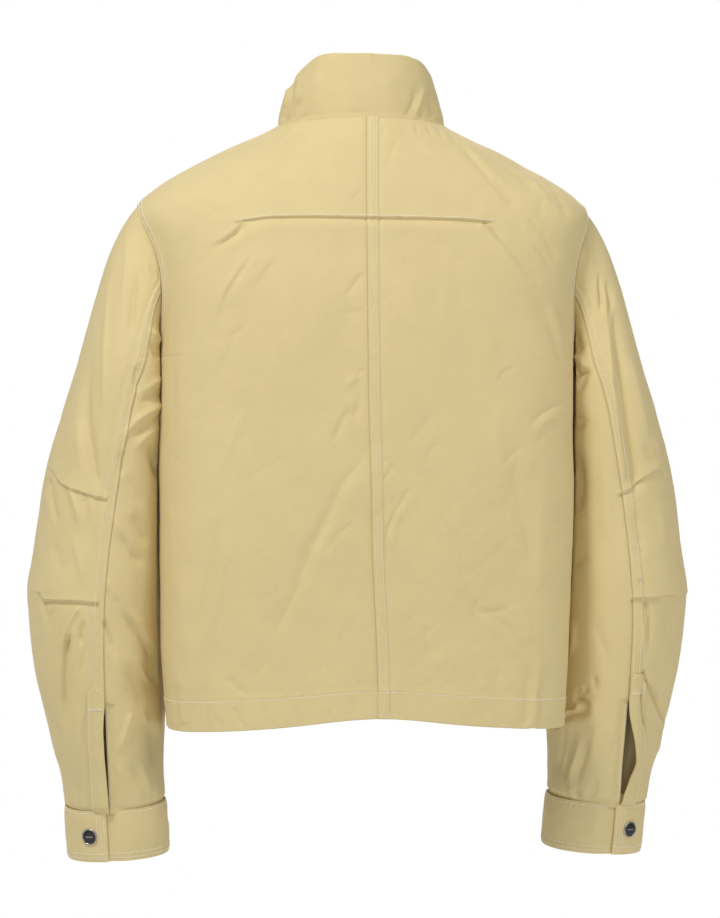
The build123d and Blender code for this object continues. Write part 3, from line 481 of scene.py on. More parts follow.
def shell(name, P, N, t, mat, wrap=False, uv0=(0.0, 0.0), roll=0.5, steps=1):
    """closed sheet of cloth: outer face P with normals N, thickness t, rolled edges. wrap joins the last column to the first"""
    P, N = np.asarray(P, float), unit(np.asarray(N, float))
    R, C = P.shape[:2]
    t = np.broadcast_to(np.asarray(t, float), (R, C))[..., None]
    Q = P - N * t
    ids = np.arange(R * C).reshape(R, C)
    cols = np.arange(C) if not wrap else np.append(np.arange(C), 0)
    a, b = ids[:-1][:, cols[:-1]], ids[:-1][:, cols[1:]]
    c, d = ids[1:][:, cols[1:]], ids[1:][:, cols[:-1]]
    F = np.stack([a, b, c, d], -1).reshape(-1, 4)
    V, M = P.reshape(-1, 3), N.reshape(-1, 3)
    F = wind(V, F, M)
    n0 = R * C
    F = np.concatenate([F, F[:, ::-1] + n0])
    V = np.concatenate([V, Q.reshape(-1, 3)])
    M = np.concatenate([M, -M])
    du = np.linalg.norm(np.diff(P, axis=1), axis=-1)
    dv = np.linalg.norm(np.diff(P, axis=0), axis=-1)
    U = np.concatenate([np.zeros((R, 1)), np.cumsum(du, axis=1)], 1)
    U = U - U[:, :1] * 0 - np.mean(U, axis=1, keepdims=True)
    W = np.concatenate([[0], np.cumsum(np.mean(dv, axis=1))])[:, None] + np.zeros((R, C))
    UV = np.stack([U * 0.001 + uv0[0], -W * 0.001 + uv0[1]], -1).reshape(-1, 2)
    UV = np.concatenate([UV, UV])
    rings = []
    if wrap:
        rings = [(ids[0], ids[1], True), (ids[-1], ids[-2], True)]
    else:
        top, bot, lef, rig = ids[0], ids[-1], ids[:, 0], ids[:, -1]
        ring = np.concatenate([top[:-1], rig[:-1], bot[::-1][:-1], lef[::-1][:-1]])
        inner = np.concatenate([ids[1][:-1], ids[:, -2][:-1], ids[-2][::-1][:-1], ids[:, 1][::-1][:-1]])
        inner[0], inner[C - 1] = ids[1, 1], ids[1, -2]
        inner[C - 1 + R - 1], inner[2 * (C - 1) + R - 1] = ids[-2, -2], ids[-2, 1]
        rings = [(ring, inner, True)]
    for ring, inner, _ in rings:
        p, n, q = V[ring], M[ring], V[ring + n0]
        T = p - V[inner]
        T = unit(T - n * np.sum(T * n, axis=-1, keepdims=True))
        half = np.linalg.norm(p - q, axis=-1, keepdims=True) / 2
        nx = np.roll(np.arange(len(ring)), -1)
        prev = ring
        for k in range(1, steps + 2):
            f = pi * k / (steps + 1)
            if k <= steps:
                m = len(V) + np.arange(len(ring))
                V = np.concatenate([V, (p + q) / 2 + n * half * cos(f) + T * half * 2 * roll * sin(f)])
                M = np.concatenate([M, unit(n * cos(f) + T * sin(f))])
                UV = np.concatenate([UV, UV[ring]])
            else:
                m = ring + n0
            G = np.stack([prev, prev[nx], m[nx], m], -1)
            j = len(ring) // 3
            a, b, c = V[G[j, 0]], V[G[j, 1]], V[G[j, 3]]
            if np.dot(np.cross(b - a, c - a), M[prev[j]] + T[j]) < 0:
                G = G[:, ::-1]
            F = np.concatenate([F, G])
            prev = m
    return new_object(name, V, F, mat, N=M, UV=UV)


class Grid:
    """a displaced cloth grid with its look-up for stitches and trims"""

    def __init__(self, P, N):
        self.P, self.N = P, N
        self.v, self.n = P.reshape(-1, 3), N.reshape(-1, 3)
        self.k3 = self.k2 = None

    def tree(self):
        if self.k3 is None:
            self.k3 = kdtree.KDTree(len(self.v))
            for i, p in enumerate(self.v.tolist()):
                self.k3.insert(p, i)
            self.k3.balance()
        return self.k3

    def drop(self, pts):
        """points moved onto the cloth along its normal, with the normals"""
        out, nn = [], []
        tr = self.tree()
        for p in np.asarray(pts, float):
            _, i, _ = tr.find(p.tolist())
            n = self.n[i]
            out.append(p - n * np.dot(p - self.v[i], n))
            nn.append(n)
        return np.array(out), np.array(nn)

    def at_sheet(self, pts, step=2.0):
        """cloth points and normals below a line on the drawing sheet"""
        if self.k2 is None:
            uv = sheet(self.v)
            face = np.nonzero(self.n @ BACK_VIEW > 0.05)[0]
            self.k2 = kdtree.KDTree(len(face))
            for i in face.tolist():
                self.k2.insert((uv[i, 0], uv[i, 1], 0), i)
            self.k2.balance()
            self.uv = uv
        line = smooth_line(pts, step)
        out, nn = [], []
        for q in line:
            hit = [h[1] for h in self.k2.find_n((q[0], q[1], 0), 7)]
            A = np.concatenate([np.ones((len(hit), 1)), self.uv[hit] - q[:2]], 1)
            co, *_ = np.linalg.lstsq(A, self.v[hit], rcond=None)
            out.append(co[0])
            nn.append(self.n[hit].mean(0))
        return np.array(out), unit(np.array(nn))


# ---------------------------------------------------------------- thread
THREADS = {}


def stitch(group, P, N, pitch=3.1, length=2.05, r=0.46, lift=0.16, start=0.6):
    """a row of lockstitches along the points P, lying on the cloth with normals N"""
    P, N = np.asarray(P, float), np.asarray(N, float)
    l = np.concatenate([[0], np.cumsum(np.linalg.norm(np.diff(P, axis=0), axis=1))])
    if l[-1] < pitch:
        return
    s0 = np.arange(start, l[-1] - length, pitch)
    at = lambda t, A: np.stack([np.interp(t, l, A[:, k]) for k in range(3)], -1)
    a, b = at(s0, P), at(s0 + length, P)
    n = unit(at(s0 + length / 2, N))
    THREADS.setdefault(group, []).append((a, b, n, r, lift))


def hole_shade_mesh(name, rows, mat):
    """needle holes: small pits in the gaps between stitches, coloured dark as painted shade for the shadow in the holes
    """
    V, F, base = [], [], 0
    ang = np.linspace(0, 2 * pi, 6, endpoint=False)
    for a, b, n, r, lift in rows:
        c = (b[:-1] + a[1:]) / 2
        keep = np.linalg.norm(a[1:] - b[:-1], axis=-1) < 2.0
        c, m = c[keep], n[:-1][keep]
        if not len(c):
            continue
        t = unit((b - a)[:-1][keep])
        m = unit(m - t * np.sum(m * t, axis=-1, keepdims=True))
        w = np.cross(t, m)
        K = len(c)
        top = c[:, None] + m[:, None] * 0.07 + (t[:, None] * np.cos(ang)[None, :, None] * 0.36 + w[:, None] * np.sin(ang)[None, :, None] * 0.28)
        low = top - m[:, None] * 0.5
        V.append(np.stack([top, low], 1).reshape(-1, 3))
        ids = base + np.arange(K * 12).reshape(K, 2, 6)
        nx = np.roll(ids, -1, axis=2)
        side = np.stack([ids[:, 0], nx[:, 0], nx[:, 1], ids[:, 1]], -1).reshape(-1, 4)
        tp = np.concatenate([ids[:, 0][:, [0, 3, 2, 1]], ids[:, 0][:, [0, 5, 4, 3]]])
        lo = np.concatenate([ids[:, 1][:, [0, 1, 2, 3]], ids[:, 1][:, [0, 3, 4, 5]]])
        G = np.concatenate([side, tp, lo])
        v = np.concatenate(V)
        ctr = v[ids[0].ravel()].mean(0)
        q = v[G[0]]
        if np.dot(np.cross(q[1] - q[0], q[3] - q[0]), q.mean(0) - ctr) < 0:
            G[:len(side)] = G[:len(side)][:, ::-1]
        q = v[tp[0]]
        if np.dot(np.cross(q[1] - q[0], q[3] - q[0]), q.mean(0) - ctr) < 0:
            G[len(side):] = G[len(side):][:, ::-1]
        F.append(G)
        base += K * 12
    return new_object(name, np.concatenate(V), np.concatenate(F), mat)


def thread_mesh(name, rows, mat):
    V, M, F = [], [], []
    base = 0
    ang = np.linspace(0, 2 * pi, 6, endpoint=False)
    for a, b, n, r, lift in rows:
        t = unit(b - a)
        n = unit(n - t * np.sum(n * t, axis=-1, keepdims=True))
        w = np.cross(t, n)
        K = len(a)
        rings, norms = [], []
        for f, h, rr in ((0.0, -0.75, 0.35), (0.10, -0.12, 0.85), (0.5, 0.16, 1.0), (0.90, -0.12, 0.85), (1.0, -0.75, 0.35)):
            c = a + (b - a) * f + n * (lift + h * r)
            dirs = np.cos(ang)[None, :, None] * w[:, None] + np.sin(ang)[None, :, None] * n[:, None]
            rings.append(c[:, None] + dirs * r * rr)
            norms.append(unit(dirs + t[:, None] * (f - 0.5) * (1.4 if rr < 0.5 else 0.3)))
        G = np.stack(rings, 1)
        H = np.stack(norms, 1)
        ids = base + np.arange(K * 30).reshape(K, 5, 6)
        nx = np.roll(ids, -1, axis=2)
        q = np.stack([ids[:, :-1], nx[:, :-1], nx[:, 1:], ids[:, 1:]], -1).reshape(-1, 4)
        e0, e1 = ids[:, 0], ids[:, -1]
        caps = np.concatenate([e0[:, [3, 2, 1, 0]], e0[:, [5, 4, 3, 0]], e1[:, [0, 1, 2, 3]], e1[:, [0, 3, 4, 5]]])
        p = G.reshape(-1, 3)
        f0 = q[0] - base
        if np.dot(np.cross(p[f0[1]] - p[f0[0]], p[f0[3]] - p[f0[0]]), H.reshape(-1, 3)[f0[0]]) < 0:
            q, caps = q[:, ::-1], caps[:, ::-1]
        V.append(p)
        M.append(H.reshape(-1, 3))
        F += [q, caps]
        base += K * 30
    return new_object(name, np.concatenate(V), np.concatenate(F), mat, N=np.concatenate(M))


# ---------------------------------------------------------------- materials
def lin(r, g, b):
    f = lambda c: c / 12.92 if c <= 0.04045 else ((c + 0.055) / 1.055) ** 2.4
    return (f(r / 255), f(g / 255), f(b / 255), 1.0)


class Mat:
    def __init__(self, name, **base):
        self.m = bpy.data.materials.new(name)
        self.m.use_nodes = True
        self.t = self.m.node_tree
        self.b = self.t.nodes["Principled BSDF"]
        for k, v in base.items():
            self.set(k, v)

    def set(self, key, v):
        names = {"rough": "Roughness", "spec": "Specular IOR Level", "metal": "Metallic", "sheen": "Sheen Weight",
                 "sheen_rough": "Sheen Roughness", "sheen_tint": "Sheen Tint", "coat": "Coat Weight", "ior": "IOR",
                 "coat_rough": "Coat Roughness", "aniso": "Anisotropic", "color": "Base Color"}
        self.b.inputs[names.get(key, key)].default_value = v

    def node(self, kind, ins=None, **props):
        n = self.t.nodes.new(kind)
        for k, v in props.items():
            setattr(n, k, v)
        for k, v in (ins or {}).items():
            s = n.inputs[k]
            if isinstance(v, bpy.types.NodeSocket):
                self.t.links.new(v, s)
            else:
                s.default_value = v
        return n

    def link(self, a, b):
        self.t.links.new(a, b)

    def coords(self, kind="Object"):
        return self.node("ShaderNodeTexCoord").outputs[kind]

    def scaled(self, vec, scale, rot=(0, 0, 0)):
        return self.node("ShaderNodeMapping", {"Vector": vec, "Scale": scale, "Rotation": rot}).outputs[0]

    def noise(self, vec, scale, detail=2.0, rough=0.5, dist=0.0):
        return self.node("ShaderNodeTexNoise", {"Vector": vec, "Scale": scale, "Detail": detail, "Roughness": rough,
                                                "Distortion": dist}).outputs[0]

    def math(self, op, a, b=0.0, c=0.0):
        return self.node("ShaderNodeMath", {0: a, 1: b, 2: c}, operation=op).outputs[0]

    def ramp(self, v, a, b, lo=0.0, hi=1.0):
        return self.node("ShaderNodeMapRange", {"Value": v, "From Min": a, "From Max": b, "To Min": lo, "To Max": hi}).outputs[0]

    def mix(self, f, a, b, mode="MIX"):
        n = self.t.nodes.new("ShaderNodeMix")
        n.data_type = "RGBA"
        n.blend_type = mode
        for s, v in ((n.inputs[0], f), (n.inputs[6], a), (n.inputs[7], b)):
            if isinstance(v, bpy.types.NodeSocket):
                self.t.links.new(v, s)
            else:
                s.default_value = v
        return n.outputs[2]

    def bump(self, h, strength, dist, prev=None):
        n = self.node("ShaderNodeBump", {"Height": h, "Strength": strength, "Distance": dist})
        if prev is not None:
            self.link(prev, n.inputs["Normal"])
        return n.outputs[0]


def woven(name, color, thread=0.00042, depth=0.00006, mottled=0.05, rough=0.78, sheen=0.25, twill=False, grain=1.0):
    """plain or twill weave drawn from its two sets of threads, in metres on the cloth's own UV"""
    M = Mat(name, spec=0.28, sheen=sheen, sheen_rough=0.45)
    M.set("sheen_tint", (color[0] * 0.5 + 0.5, color[1] * 0.5 + 0.5, color[2] * 0.5 + 0.5, 1))
    uv = M.node("ShaderNodeUVMap", uv_map="cloth").outputs[0]
    sep = M.node("ShaderNodeSeparateXYZ", {"Vector": uv})
    obj = M.coords()
    k = 2 * pi / (2 * thread)
    wob = M.math("MULTIPLY", M.noise(uv, 900.0, 1.0), 1.1)
    a = M.math("SINE", M.math("ADD", M.math("MULTIPLY", sep.outputs[0], k), wob))
    b = M.math("SINE", M.math("ADD", M.math("MULTIPLY", sep.outputs[1], k * 1.07), wob))
    if twill:
        weave = M.math("SINE", M.math("MULTIPLY", M.math("ADD", sep.outputs[0], sep.outputs[1]), k * 0.7))
    else:
        weave = M.math("MULTIPLY", a, b)
    slub = M.noise(M.scaled(uv, (60.0, 1600.0, 1.0)), 1.0, 2.0)
    slub2 = M.noise(M.scaled(uv, (1500.0, 70.0, 1.0)), 1.0, 2.0)
    big = M.noise(obj, 7.0, 3.0, 0.6)
    mid = M.noise(obj, 45.0, 3.0, 0.6)
    fine = M.noise(obj, 1100.0, 2.0, 0.7)
    dark = tuple(c * (1 - 2.4 * mottled) for c in color[:3]) + (1,)
    light = tuple(min(1, c * (1 + 1.6 * mottled)) for c in color[:3]) + (1,)
    tone = M.math("ADD", M.math("MULTIPLY", big, 0.40), M.math("MULTIPLY", mid, 0.22))
    tone = M.math("ADD", tone, M.math("MULTIPLY", fine, 0.30 * grain))
    tone = M.math("ADD", tone, M.math("MULTIPLY", M.math("ADD", slub, slub2), 0.10 * grain))
    col = M.mix(M.ramp(tone, 0.28, 0.84), dark, light)
    shade = M.ramp(weave, -1.0, 1.0, 1.0 - 0.05 * grain, 1.0)
    comb = M.node("ShaderNodeCombineColor", {0: shade, 1: shade, 2: shade}).outputs[0]
    col = M.mix(1.0, col, comb, "MULTIPLY")
    M.link(col, M.b.inputs["Base Color"])
    M.link(M.ramp(mid, 0.2, 0.8, rough - 0.07, rough + 0.07), M.b.inputs["Roughness"])
    n1 = M.bump(weave, 0.35, depth)
    n2 = M.bump(M.math("ADD", slub, slub2), 0.30, depth * 1.6, n1)
    n3 = M.bump(M.noise(obj, 260.0, 3.0, 0.6), 0.25, 0.00018, n2)
    M.link(n3, M.b.inputs["Normal"])
    return M.m


SHELL_RGB = (226, 206, 151)
shell_mat = woven("shell_fabric", lin(*SHELL_RGB))
trim_mat = woven("trim_fabric", lin(220, 200, 146), mottled=0.045)
lining_mat = woven("lining_twill", lin(196, 176, 132), thread=0.0006, rough=0.5, sheen=0.1, twill=True)
tape_mat = woven("tape_weave", lin(200, 182, 138), thread=0.0007, depth=0.00016, rough=0.8, twill=True)

T = Mat("sewing_thread", rough=0.55, spec=0.4, sheen=0.35)
T_o = T.coords()
T.link(T.mix(T.ramp(T.noise(T_o, 420.0, 2.0), 0.3, 0.7), lin(244, 232, 200), lin(255, 250, 232)), T.b.inputs["Base Color"])
T.link(T.bump(T.noise(T_o, 3200.0, 2.0, 0.7), 0.4, 0.0001), T.b.inputs["Normal"])
thread_mat = T.m
# needle-hole colour: a dark tan that is painted shade, standing in for the shadow inside the holes between stitches
H = Mat("needle_hole_painted_shade", rough=0.9, spec=0.1)
H.link(H.mix(H.ramp(H.noise(H.coords(), 300.0, 2.0), 0.3, 0.7), lin(142, 120, 76), lin(168, 146, 98)), H.b.inputs["Base Color"])
hole_shade_mat = H.m


def metal(name, dark, light, rough, brush=(1.0, 1.0, 1.0), wear=0.5, scale=900.0):
    M = Mat(name, metal=1.0, spec=0.5, coat=0.15, coat_rough=0.25)
    o = M.coords()
    n = M.noise(M.scaled(o, brush), scale, 4.0, 0.65)
    g = M.noise(o, 160.0, 3.0, 0.6)
    f = M.ramp(M.math("ADD", M.math("MULTIPLY", n, 0.5), M.math("MULTIPLY", g, 0.5)), 0.35, 0.68)
    M.link(M.mix(f, dark, light), M.b.inputs["Base Color"])
    M.link(M.ramp(n, 0.25, 0.75, rough - 0.07, rough + 0.10), M.b.inputs["Roughness"])
    M.link(M.bump(n, 0.12, 0.00004, M.bump(g, 0.15, 0.0001)), M.b.inputs["Normal"])
    return M.m


snap_mat = metal("snap_metal", (0.035, 0.034, 0.032, 1), (0.085, 0.082, 0.078, 1), 0.20)
snap_rim_mat = metal("snap_rim_metal", (0.30, 0.30, 0.29, 1), (0.55, 0.55, 0.53, 1), 0.22)
teeth_mat = metal("zip_teeth_metal", (0.20, 0.155, 0.085, 1), (0.36, 0.29, 0.17, 1), 0.33)
slider_mat = metal("zip_slider_metal", (0.11, 0.10, 0.095, 1), (0.24, 0.23, 0.22, 1), 0.27, brush=(1, 1, 0.15))



def place(o, key):
    """attaches torso, cuff and cuff-tab pieces to the body that carries them; upper and lower sleeve pieces only have
    their transform baked into the mesh
    """
    if key == "torso":
        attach(o, "torso")
        return
    side, part = key.split("_", 1)
    if part == "upper":
        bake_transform(o)
    elif part == "lower":
        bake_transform(o)
    elif part == "cuff":
        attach(o, side + "_lower_sleeve")
    else:
        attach(o, side + "_cuff_tab_body")


# ---------------------------------------------------------------- back panels
def len_at(z):
    return np.interp(z, ZS, SEC_L)


def axis_of(P, kx=0.2):
    C = np.array(P, float)
    C[..., 0] *= kx
    C[..., 1] = 0
    return C


def body_l(z, l):
    """torso point at height z and distance l round the section from the centre back, + towards the wearer's left"""
    z, l = np.broadcast_arrays(np.asarray(z, float), np.asarray(l, float))
    P = body(z, np.abs(l) / len_at(z))
    P = P * np.stack([np.where(l < 0, -1.0, 1.0), np.ones(z.shape), np.ones(z.shape)], -1)
    up = 4.0 * np.clip(P[..., 1] / 64.0, 0, 1) ** 2 * ease((z + 22) / 18.0)
    P[..., 2] += up
    return P


# centre-back seam on the drawing sheet
SEAM_U = pchip([100, 122, 216, 250, 300, 350, 400, 450, 500, 550, 600, 650, 700, 720],
               [367.5, 367.5, 367.6, 368, 368.6, 369.2, 369.6, 371.2, 372.6, 373.4, 375.4, 377.4, 378.8, 379])


def seam_l(z):
    """the seam's distance from the centre plane at height z"""
    ls = np.linspace(-14, 24, 77)
    out = []
    for zz in np.atleast_1d(z):
        uv = sheet(body_l(np.full(77, zz), ls))
        g = uv[:, 0] - SEAM_U(uv[:, 1])
        out.append(np.interp(0.0, -g, ls))
    return np.array(out)


rows = np.concatenate([np.arange(-2.0, -86.0, -2.2), np.arange(-86.0, -106.0, -0.75), np.arange(-106.0, -238.0, -2.2),
                       np.arange(-238.0, -560.0, -2.3), np.arange(-560.0, -600.1, -1.4)])
rows[-1] = HEM_Z
ROW_S = np.maximum(rows, -612)
EDGE_L = edge_s(np.minimum(ROW_S, -4.0), True) * len_at(ROW_S)
SEAM_LL = seam_l(rows)
EDGE_M = EDGE_L.copy()
for _ in range(260):
    EDGE_M[1:-1] = np.minimum(EDGE_L[1:-1], (EDGE_M[:-2] + 2 * EDGE_M[1:-1] + EDGE_M[2:]) / 4)

# the folds of the back, on the drawing sheet
BACK_FOLDS = [
    # the tuck across the shoulder blades: a ledge, and the fullness released under it
    ([(232, 224.5), (237, 222), (251, 219.8), (271, 217.4), (312, 216.8), (367, 217.6), (431, 218.6), (462, 219.6), (482, 221.2), (497, 222.4)],
     -0.95, dict(kind="s", wa=4.5, wb=7.0, w0=0.6, e0=0.02, e1=0.05, p=1.1)),
    ([(246, 229), (271, 224.5), (312, 223.5), (367, 224.5), (431, 225.5), (478, 228)], 0.7, dict(kind="r", wa=10.0, wb=4.0, e0=0.1, e1=0.1)),
    # left end of the tuck
    ([(243, 223.5), (236, 231), (226, 238.5), (215, 244.5), (203, 249.5)], 1.4, dict(kind="s", wa=5.0, wb=6.5, w0=0.9, e0=0.06, e1=0.55)),
    ([(252, 226), (243, 236), (228, 246), (212, 253)], 1.0, dict(kind="r", wa=4.0, wb=6.0, e0=0.15, e1=0.5)),
    ([(172, 193), (186, 197), (204, 204.5), (218, 211), (232, 217)], 1.1, dict(kind="v", wa=4.5, wb=6.0, e0=0.3, e1=0.35)),
    ([(166, 199), (190, 207), (214, 217)], 0.8, dict(kind="r", wa=6, wb=6, e0=0.3, e1=0.3)),
    ([(170, 184), (186, 178.5), (202, 172), (222, 164), (240, 161)], 0.8, dict(kind="v", wa=3.2, wb=4.5, e0=0.3, e1=0.4)),
    ([(188, 167), (204, 162), (224, 153)], 0.6, dict(kind="v", wa=3, wb=4, e0=0.3, e1=0.4)),
    ([(255, 247), (247, 261), (239, 272), (230, 286), (224, 297), (221, 312), (216, 333)], 1.0, dict(kind="s", wa=7, wb=5, w0=2.0, e0=0.3, e1=0.4)),
    ([(262, 243), (252, 262), (243, 277), (234, 293), (229, 312)], 0.8, dict(kind="r", wa=5, wb=8, e0=0.3, e1=0.4)),
    ([(283, 248), (262, 273), (246, 297)], 0.5, dict(kind="s", wa=8, wb=7, w0=3, e0=0.35, e1=0.4)),
    ([(216, 249), (200, 263), (188, 275)], 0.45, dict(kind="v", wa=4, wb=4, e0=0.3, e1=0.4)),
    ([(252, 319), (234, 334), (208, 343)], 0.35, dict(kind="v", wa=3, wb=5, e0=0.3, e1=0.4)),
    ([(238, 318), (226, 352), (214, 380)], 0.4, dict(kind="s", wa=8, wb=8, w0=3, e0=0.3, e1=0.4)),
    # beside the centre seam
    ([(361, 191), (355, 196), (350, 201)], 0.5, dict(kind="v", wa=1.8, wb=2.4)),
    ([(363, 272), (358, 279), (352, 287), (347, 296)], 0.75, dict(kind="v", wa=2.4, wb=4.0)),
    ([(366, 308), (355, 312), (344, 313)], 0.4, dict(kind="v", wa=1.8, wb=2.6)),
    ([(366, 368), (358, 376), (357, 388), (359, 399), (357, 412), (350, 419)], 0.85, dict(kind="v", wa=2.4, wb=3.6, e0=0.1)),
    ([(349, 408), (342, 422), (337, 434), (331, 443)], 0.9, dict(kind="v", wa=2.6, wb=4.2)),
    ([(344, 398), (350, 404), (357, 405)], 0.5, dict(kind="r", wa=3, wb=3)),
    ([(366, 372), (352, 381), (340, 388)], 0.5, dict(kind="r", wa=3, wb=3)),
    # the long drag line down the left of the back
    ([(367, 443), (361, 460), (352, 473), (341, 487), (331, 511), (316, 541), (305, 566), (297, 591), (286, 611), (276, 632), (262, 650), (250, 668)],
     1.05, dict(kind="v", wa=7.0, wb=5.0, e0=0.15, e1=0.4, p=1.3)),
    ([(368, 462), (357, 480), (345, 503), (333, 530), (320, 556), (311, 580), (300, 606)], 0.4, dict(kind="r", wa=8.0, wb=10.0, e0=0.15, e1=0.4)),
    ([(338, 478), (322, 507), (306, 540), (295, 566)], 0.6, dict(kind="r", wa=9.0, wb=8.0, e0=0.2, e1=0.4)),
    ([(356, 520), (341, 533), (330, 545), (322, 558)], 0.45, dict(kind="v", wa=2.5, wb=3.0)),
    # folds at the left side
    ([(222, 512), (216, 538), (213, 562), (207, 590), (200, 618), (194, 640), (186, 658)], 1.5, dict(kind="v", wa=5.0, wb=3.6, e0=0.25, e1=0.35)),
    ([(231, 520), (225, 560), (219, 590), (210, 625), (199, 655)], 0.8, dict(kind="r", wa=6, wb=7, e0=0.3, e1=0.4)),
    ([(176, 560), (181, 600), (184, 640), (181, 668)], 0.8, dict(kind="r", wa=9, wb=7, e0=0.3, e1=0.3)),
    ([(228, 555), (223, 600), (214, 640)], 0.4, dict(kind="v", wa=3, wb=3)),
    ([(250, 405), (235, 440), (225, 470), (218, 500)], 0.6, dict(kind="s", wa=9, wb=9, w0=4, e0=0.3, e1=0.3)),
    ([(174, 300), (172, 345), (174, 400), (173, 450)], 0.5, dict(kind="v", wa=2.2, wb=3.2, e0=0.2, e1=0.3)),
    ([(244, 402), (232, 428), (229, 444)], 0.4, dict(kind="v", wa=3, wb=3)),
    ([(290, 455), (262, 470), (243, 482)], 0.35, dict(kind="v", wa=4, wb=4)),
    # right of the centre seam
    ([(384, 457), (390, 466), (396, 477)], 0.55, dict(kind="v", wa=1.8, wb=2.2)),
    ([(396, 462), (390, 470), (384, 482)], 0.5, dict(kind="v", wa=1.6, wb=2.2)),
    ([(413, 483), (403, 500), (394, 517), (388, 533), (387.5, 545), (390, 557), (395, 578), (401, 597)], 0.9, dict(kind="v", wa=1.9, wb=2.8, e0=0.2, e1=0.3)),
    ([(404, 500), (397, 518), (392, 536), (392, 552)], 0.7, dict(kind="r", wa=2.2, wb=4.0)),
    ([(430, 518), (437, 516), (444, 526), (451, 541), (460, 560), (471, 588)], 0.55, dict(kind="v", wa=1.8, wb=2.8)),
    ([(422, 540), (425, 556), (424, 575)], 0.35, dict(kind="v", wa=6, wb=6)),
    ([(474, 598), (477, 610), (486, 613.5), (502, 611), (512, 606)], 0.95, dict(kind="v", wa=2.6, wb=3.4, e0=0.15, e1=0.3)),
    ([(490, 614), (503, 624), (514, 636), (525, 649), (537, 664)], 1.0, dict(kind="v", wa=3.0, wb=3.6, e0=0.15, e1=0.3)),
    ([(482, 620), (496, 632), (508, 646), (519, 660)], 0.7, dict(kind="r", wa=4, wb=5)),
    ([(512, 603), (524, 622), (533, 645)], 0.7, dict(kind="r", wa=4, wb=4)),
    ([(516, 446), (514, 470), (517, 496), (524, 520), (530, 552), (531, 583)], 0.8, dict(kind="v", wa=5.5, wb=6.5, e0=0.3, e1=0.3)),
    ([(545, 470), (543, 510), (541, 560), (540, 600)], 0.7, dict(kind="r", wa=8, wb=7, e0=0.3, e1=0.3)),
    ([(495, 400), (499, 440), (503, 480)], 0.55, dict(kind="r", wa=8, wb=7, e0=0.3, e1=0.3)),
    ([(501, 467), (509, 458), (521, 446)], 0.5, dict(kind="v", wa=1.8, wb=3.0)),
    ([(528, 430), (536, 420), (547, 411), (560, 404), (571, 399)], 0.85, dict(kind="v", wa=1.8, wb=3.6, e0=0.3, e1=0.12)),
    ([(531, 437), (545, 422), (566, 411)], 0.5, dict(kind="r", wa=4, wb=4)),
    ([(500, 375), (508, 371), (517, 366)], 0.5, dict(kind="v", wa=1.8, wb=2.4)),
    ([(497, 384), (506, 373)], 0.35, dict(kind="v", wa=1.8, wb=2.4)),
    ([(500, 484), (508, 505), (509, 520)], 0.35, dict(kind="v", wa=3, wb=4)),
    ([(433, 410), (421, 430), (404, 447)], 0.4, dict(kind="v", wa=4, wb=5)),
    ([(445, 440), (430, 452), (424, 470)], 0.35, dict(kind="v", wa=3, wb=4)),
    # right end of the tuck
    ([(481, 221.5), (488, 227), (495, 235), (503, 244)], 1.5, dict(kind="s", wa=6.0, wb=4.5, w0=0.9, e0=0.05, e1=0.5)),
    ([(494, 234), (508, 251), (523, 270), (537, 286), (550, 300), (560, 318), (566, 343)], 0.95, dict(kind="s", wa=8, wb=6, w0=2.4, e0=0.15, e1=0.4)),
    ([(486, 232), (500, 250), (515, 271), (530, 293), (543, 318)], 0.8, dict(kind="r", wa=6, wb=6, e0=0.2, e1=0.4)),
    ([(514, 275), (529, 290), (544, 312), (554, 338), (561, 362), (569, 378)], 0.85, dict(kind="v", wa=5.5, wb=4.5, e0=0.3, e1=0.2)),
    ([(548, 300), (558, 330), (566, 352)], 0.6, dict(kind="r", wa=4, wb=4)),
    ([(426, 262), (436, 288), (440, 318)], 0.4, dict(kind="v", wa=5, wb=6)),
    ([(454, 252), (459, 285), (461, 310)], 0.4, dict(kind="v", wa=5, wb=6)),
    ([(476, 290), (485, 330), (492, 372)], 0.5, dict(kind="r", wa=8, wb=8)),
    # drag lines over the right shoulder
    ([(450, 134), (462, 147), (476, 163), (490, 179), (503, 194), (513, 204), (521, 208)], 0.8, dict(kind="v", wa=2.4, wb=3.4, e0=0.3, e1=0.15)),
    ([(462, 140), (478, 157), (494, 173), (508, 188)], 0.5, dict(kind="r", wa=3, wb=3)),
    ([(463, 138), (482, 147), (497, 161), (510, 170), (524, 181), (535, 194)], 0.8, dict(kind="v", wa=2.2, wb=3.2, e0=0.3, e1=0.2)),
    ([(489, 152), (512, 165), (527, 171), (539, 182), (549, 192), (556, 202)], 1.15, dict(kind="v", wa=2.4, wb=3.6, e0=0.4, e1=0.25)),
    ([(533, 181), (543, 193), (552, 204)], 0.8, dict(kind="r", wa=3, wb=3)),
    ([(541, 176), (554, 190), (562, 207), (569, 222)], 0.9, dict(kind="v", wa=2.2, wb=3.0, e0=0.3, e1=0.2)),
    ([(493, 176), (507, 192), (520, 207)], 0.7, dict(kind="v", wa=2.0, wb=2.8)),
    ([(511, 215), (524, 233), (538, 251), (550, 271), (555, 286)], 0.8, dict(kind="v", wa=2.4, wb=3.6, e0=0.2, e1=0.35)),
    ([(518, 224), (533, 246), (547, 268)], 0.5, dict(kind="r", wa=3, wb=3)),
    ([(527, 219), (538, 230), (550, 237)], 0.8, dict(kind="v", wa=1.9, wb=3.0, e0=0.15, e1=0.3)),
    ([(541, 232), (549, 247), (557, 264)], 0.7, dict(kind="v", wa=2.0, wb=2.6)),
    ([(543, 198), (540, 208), (540, 219)], 0.6, dict(kind="v", wa=2.6, wb=3.0)),
    # small gathers below the collar seam
    ([(384, 126), (383, 134), (380, 142)], 0.4, dict(kind="v", wa=1.6, wb=2.0, e0=0.05)),
    ([(398, 136), (390, 156), (383, 176)], 0.4, dict(kind="v", wa=3.0, wb=4.0)),
    ([(415, 124), (416.5, 130), (418, 137)], 0.4, dict(kind="v", wa=1.4, wb=1.8, e0=0.05)),
    ([(426.5, 124), (429, 131), (432, 138)], 0.45, dict(kind="v", wa=1.4, wb=1.8, e0=0.05)),
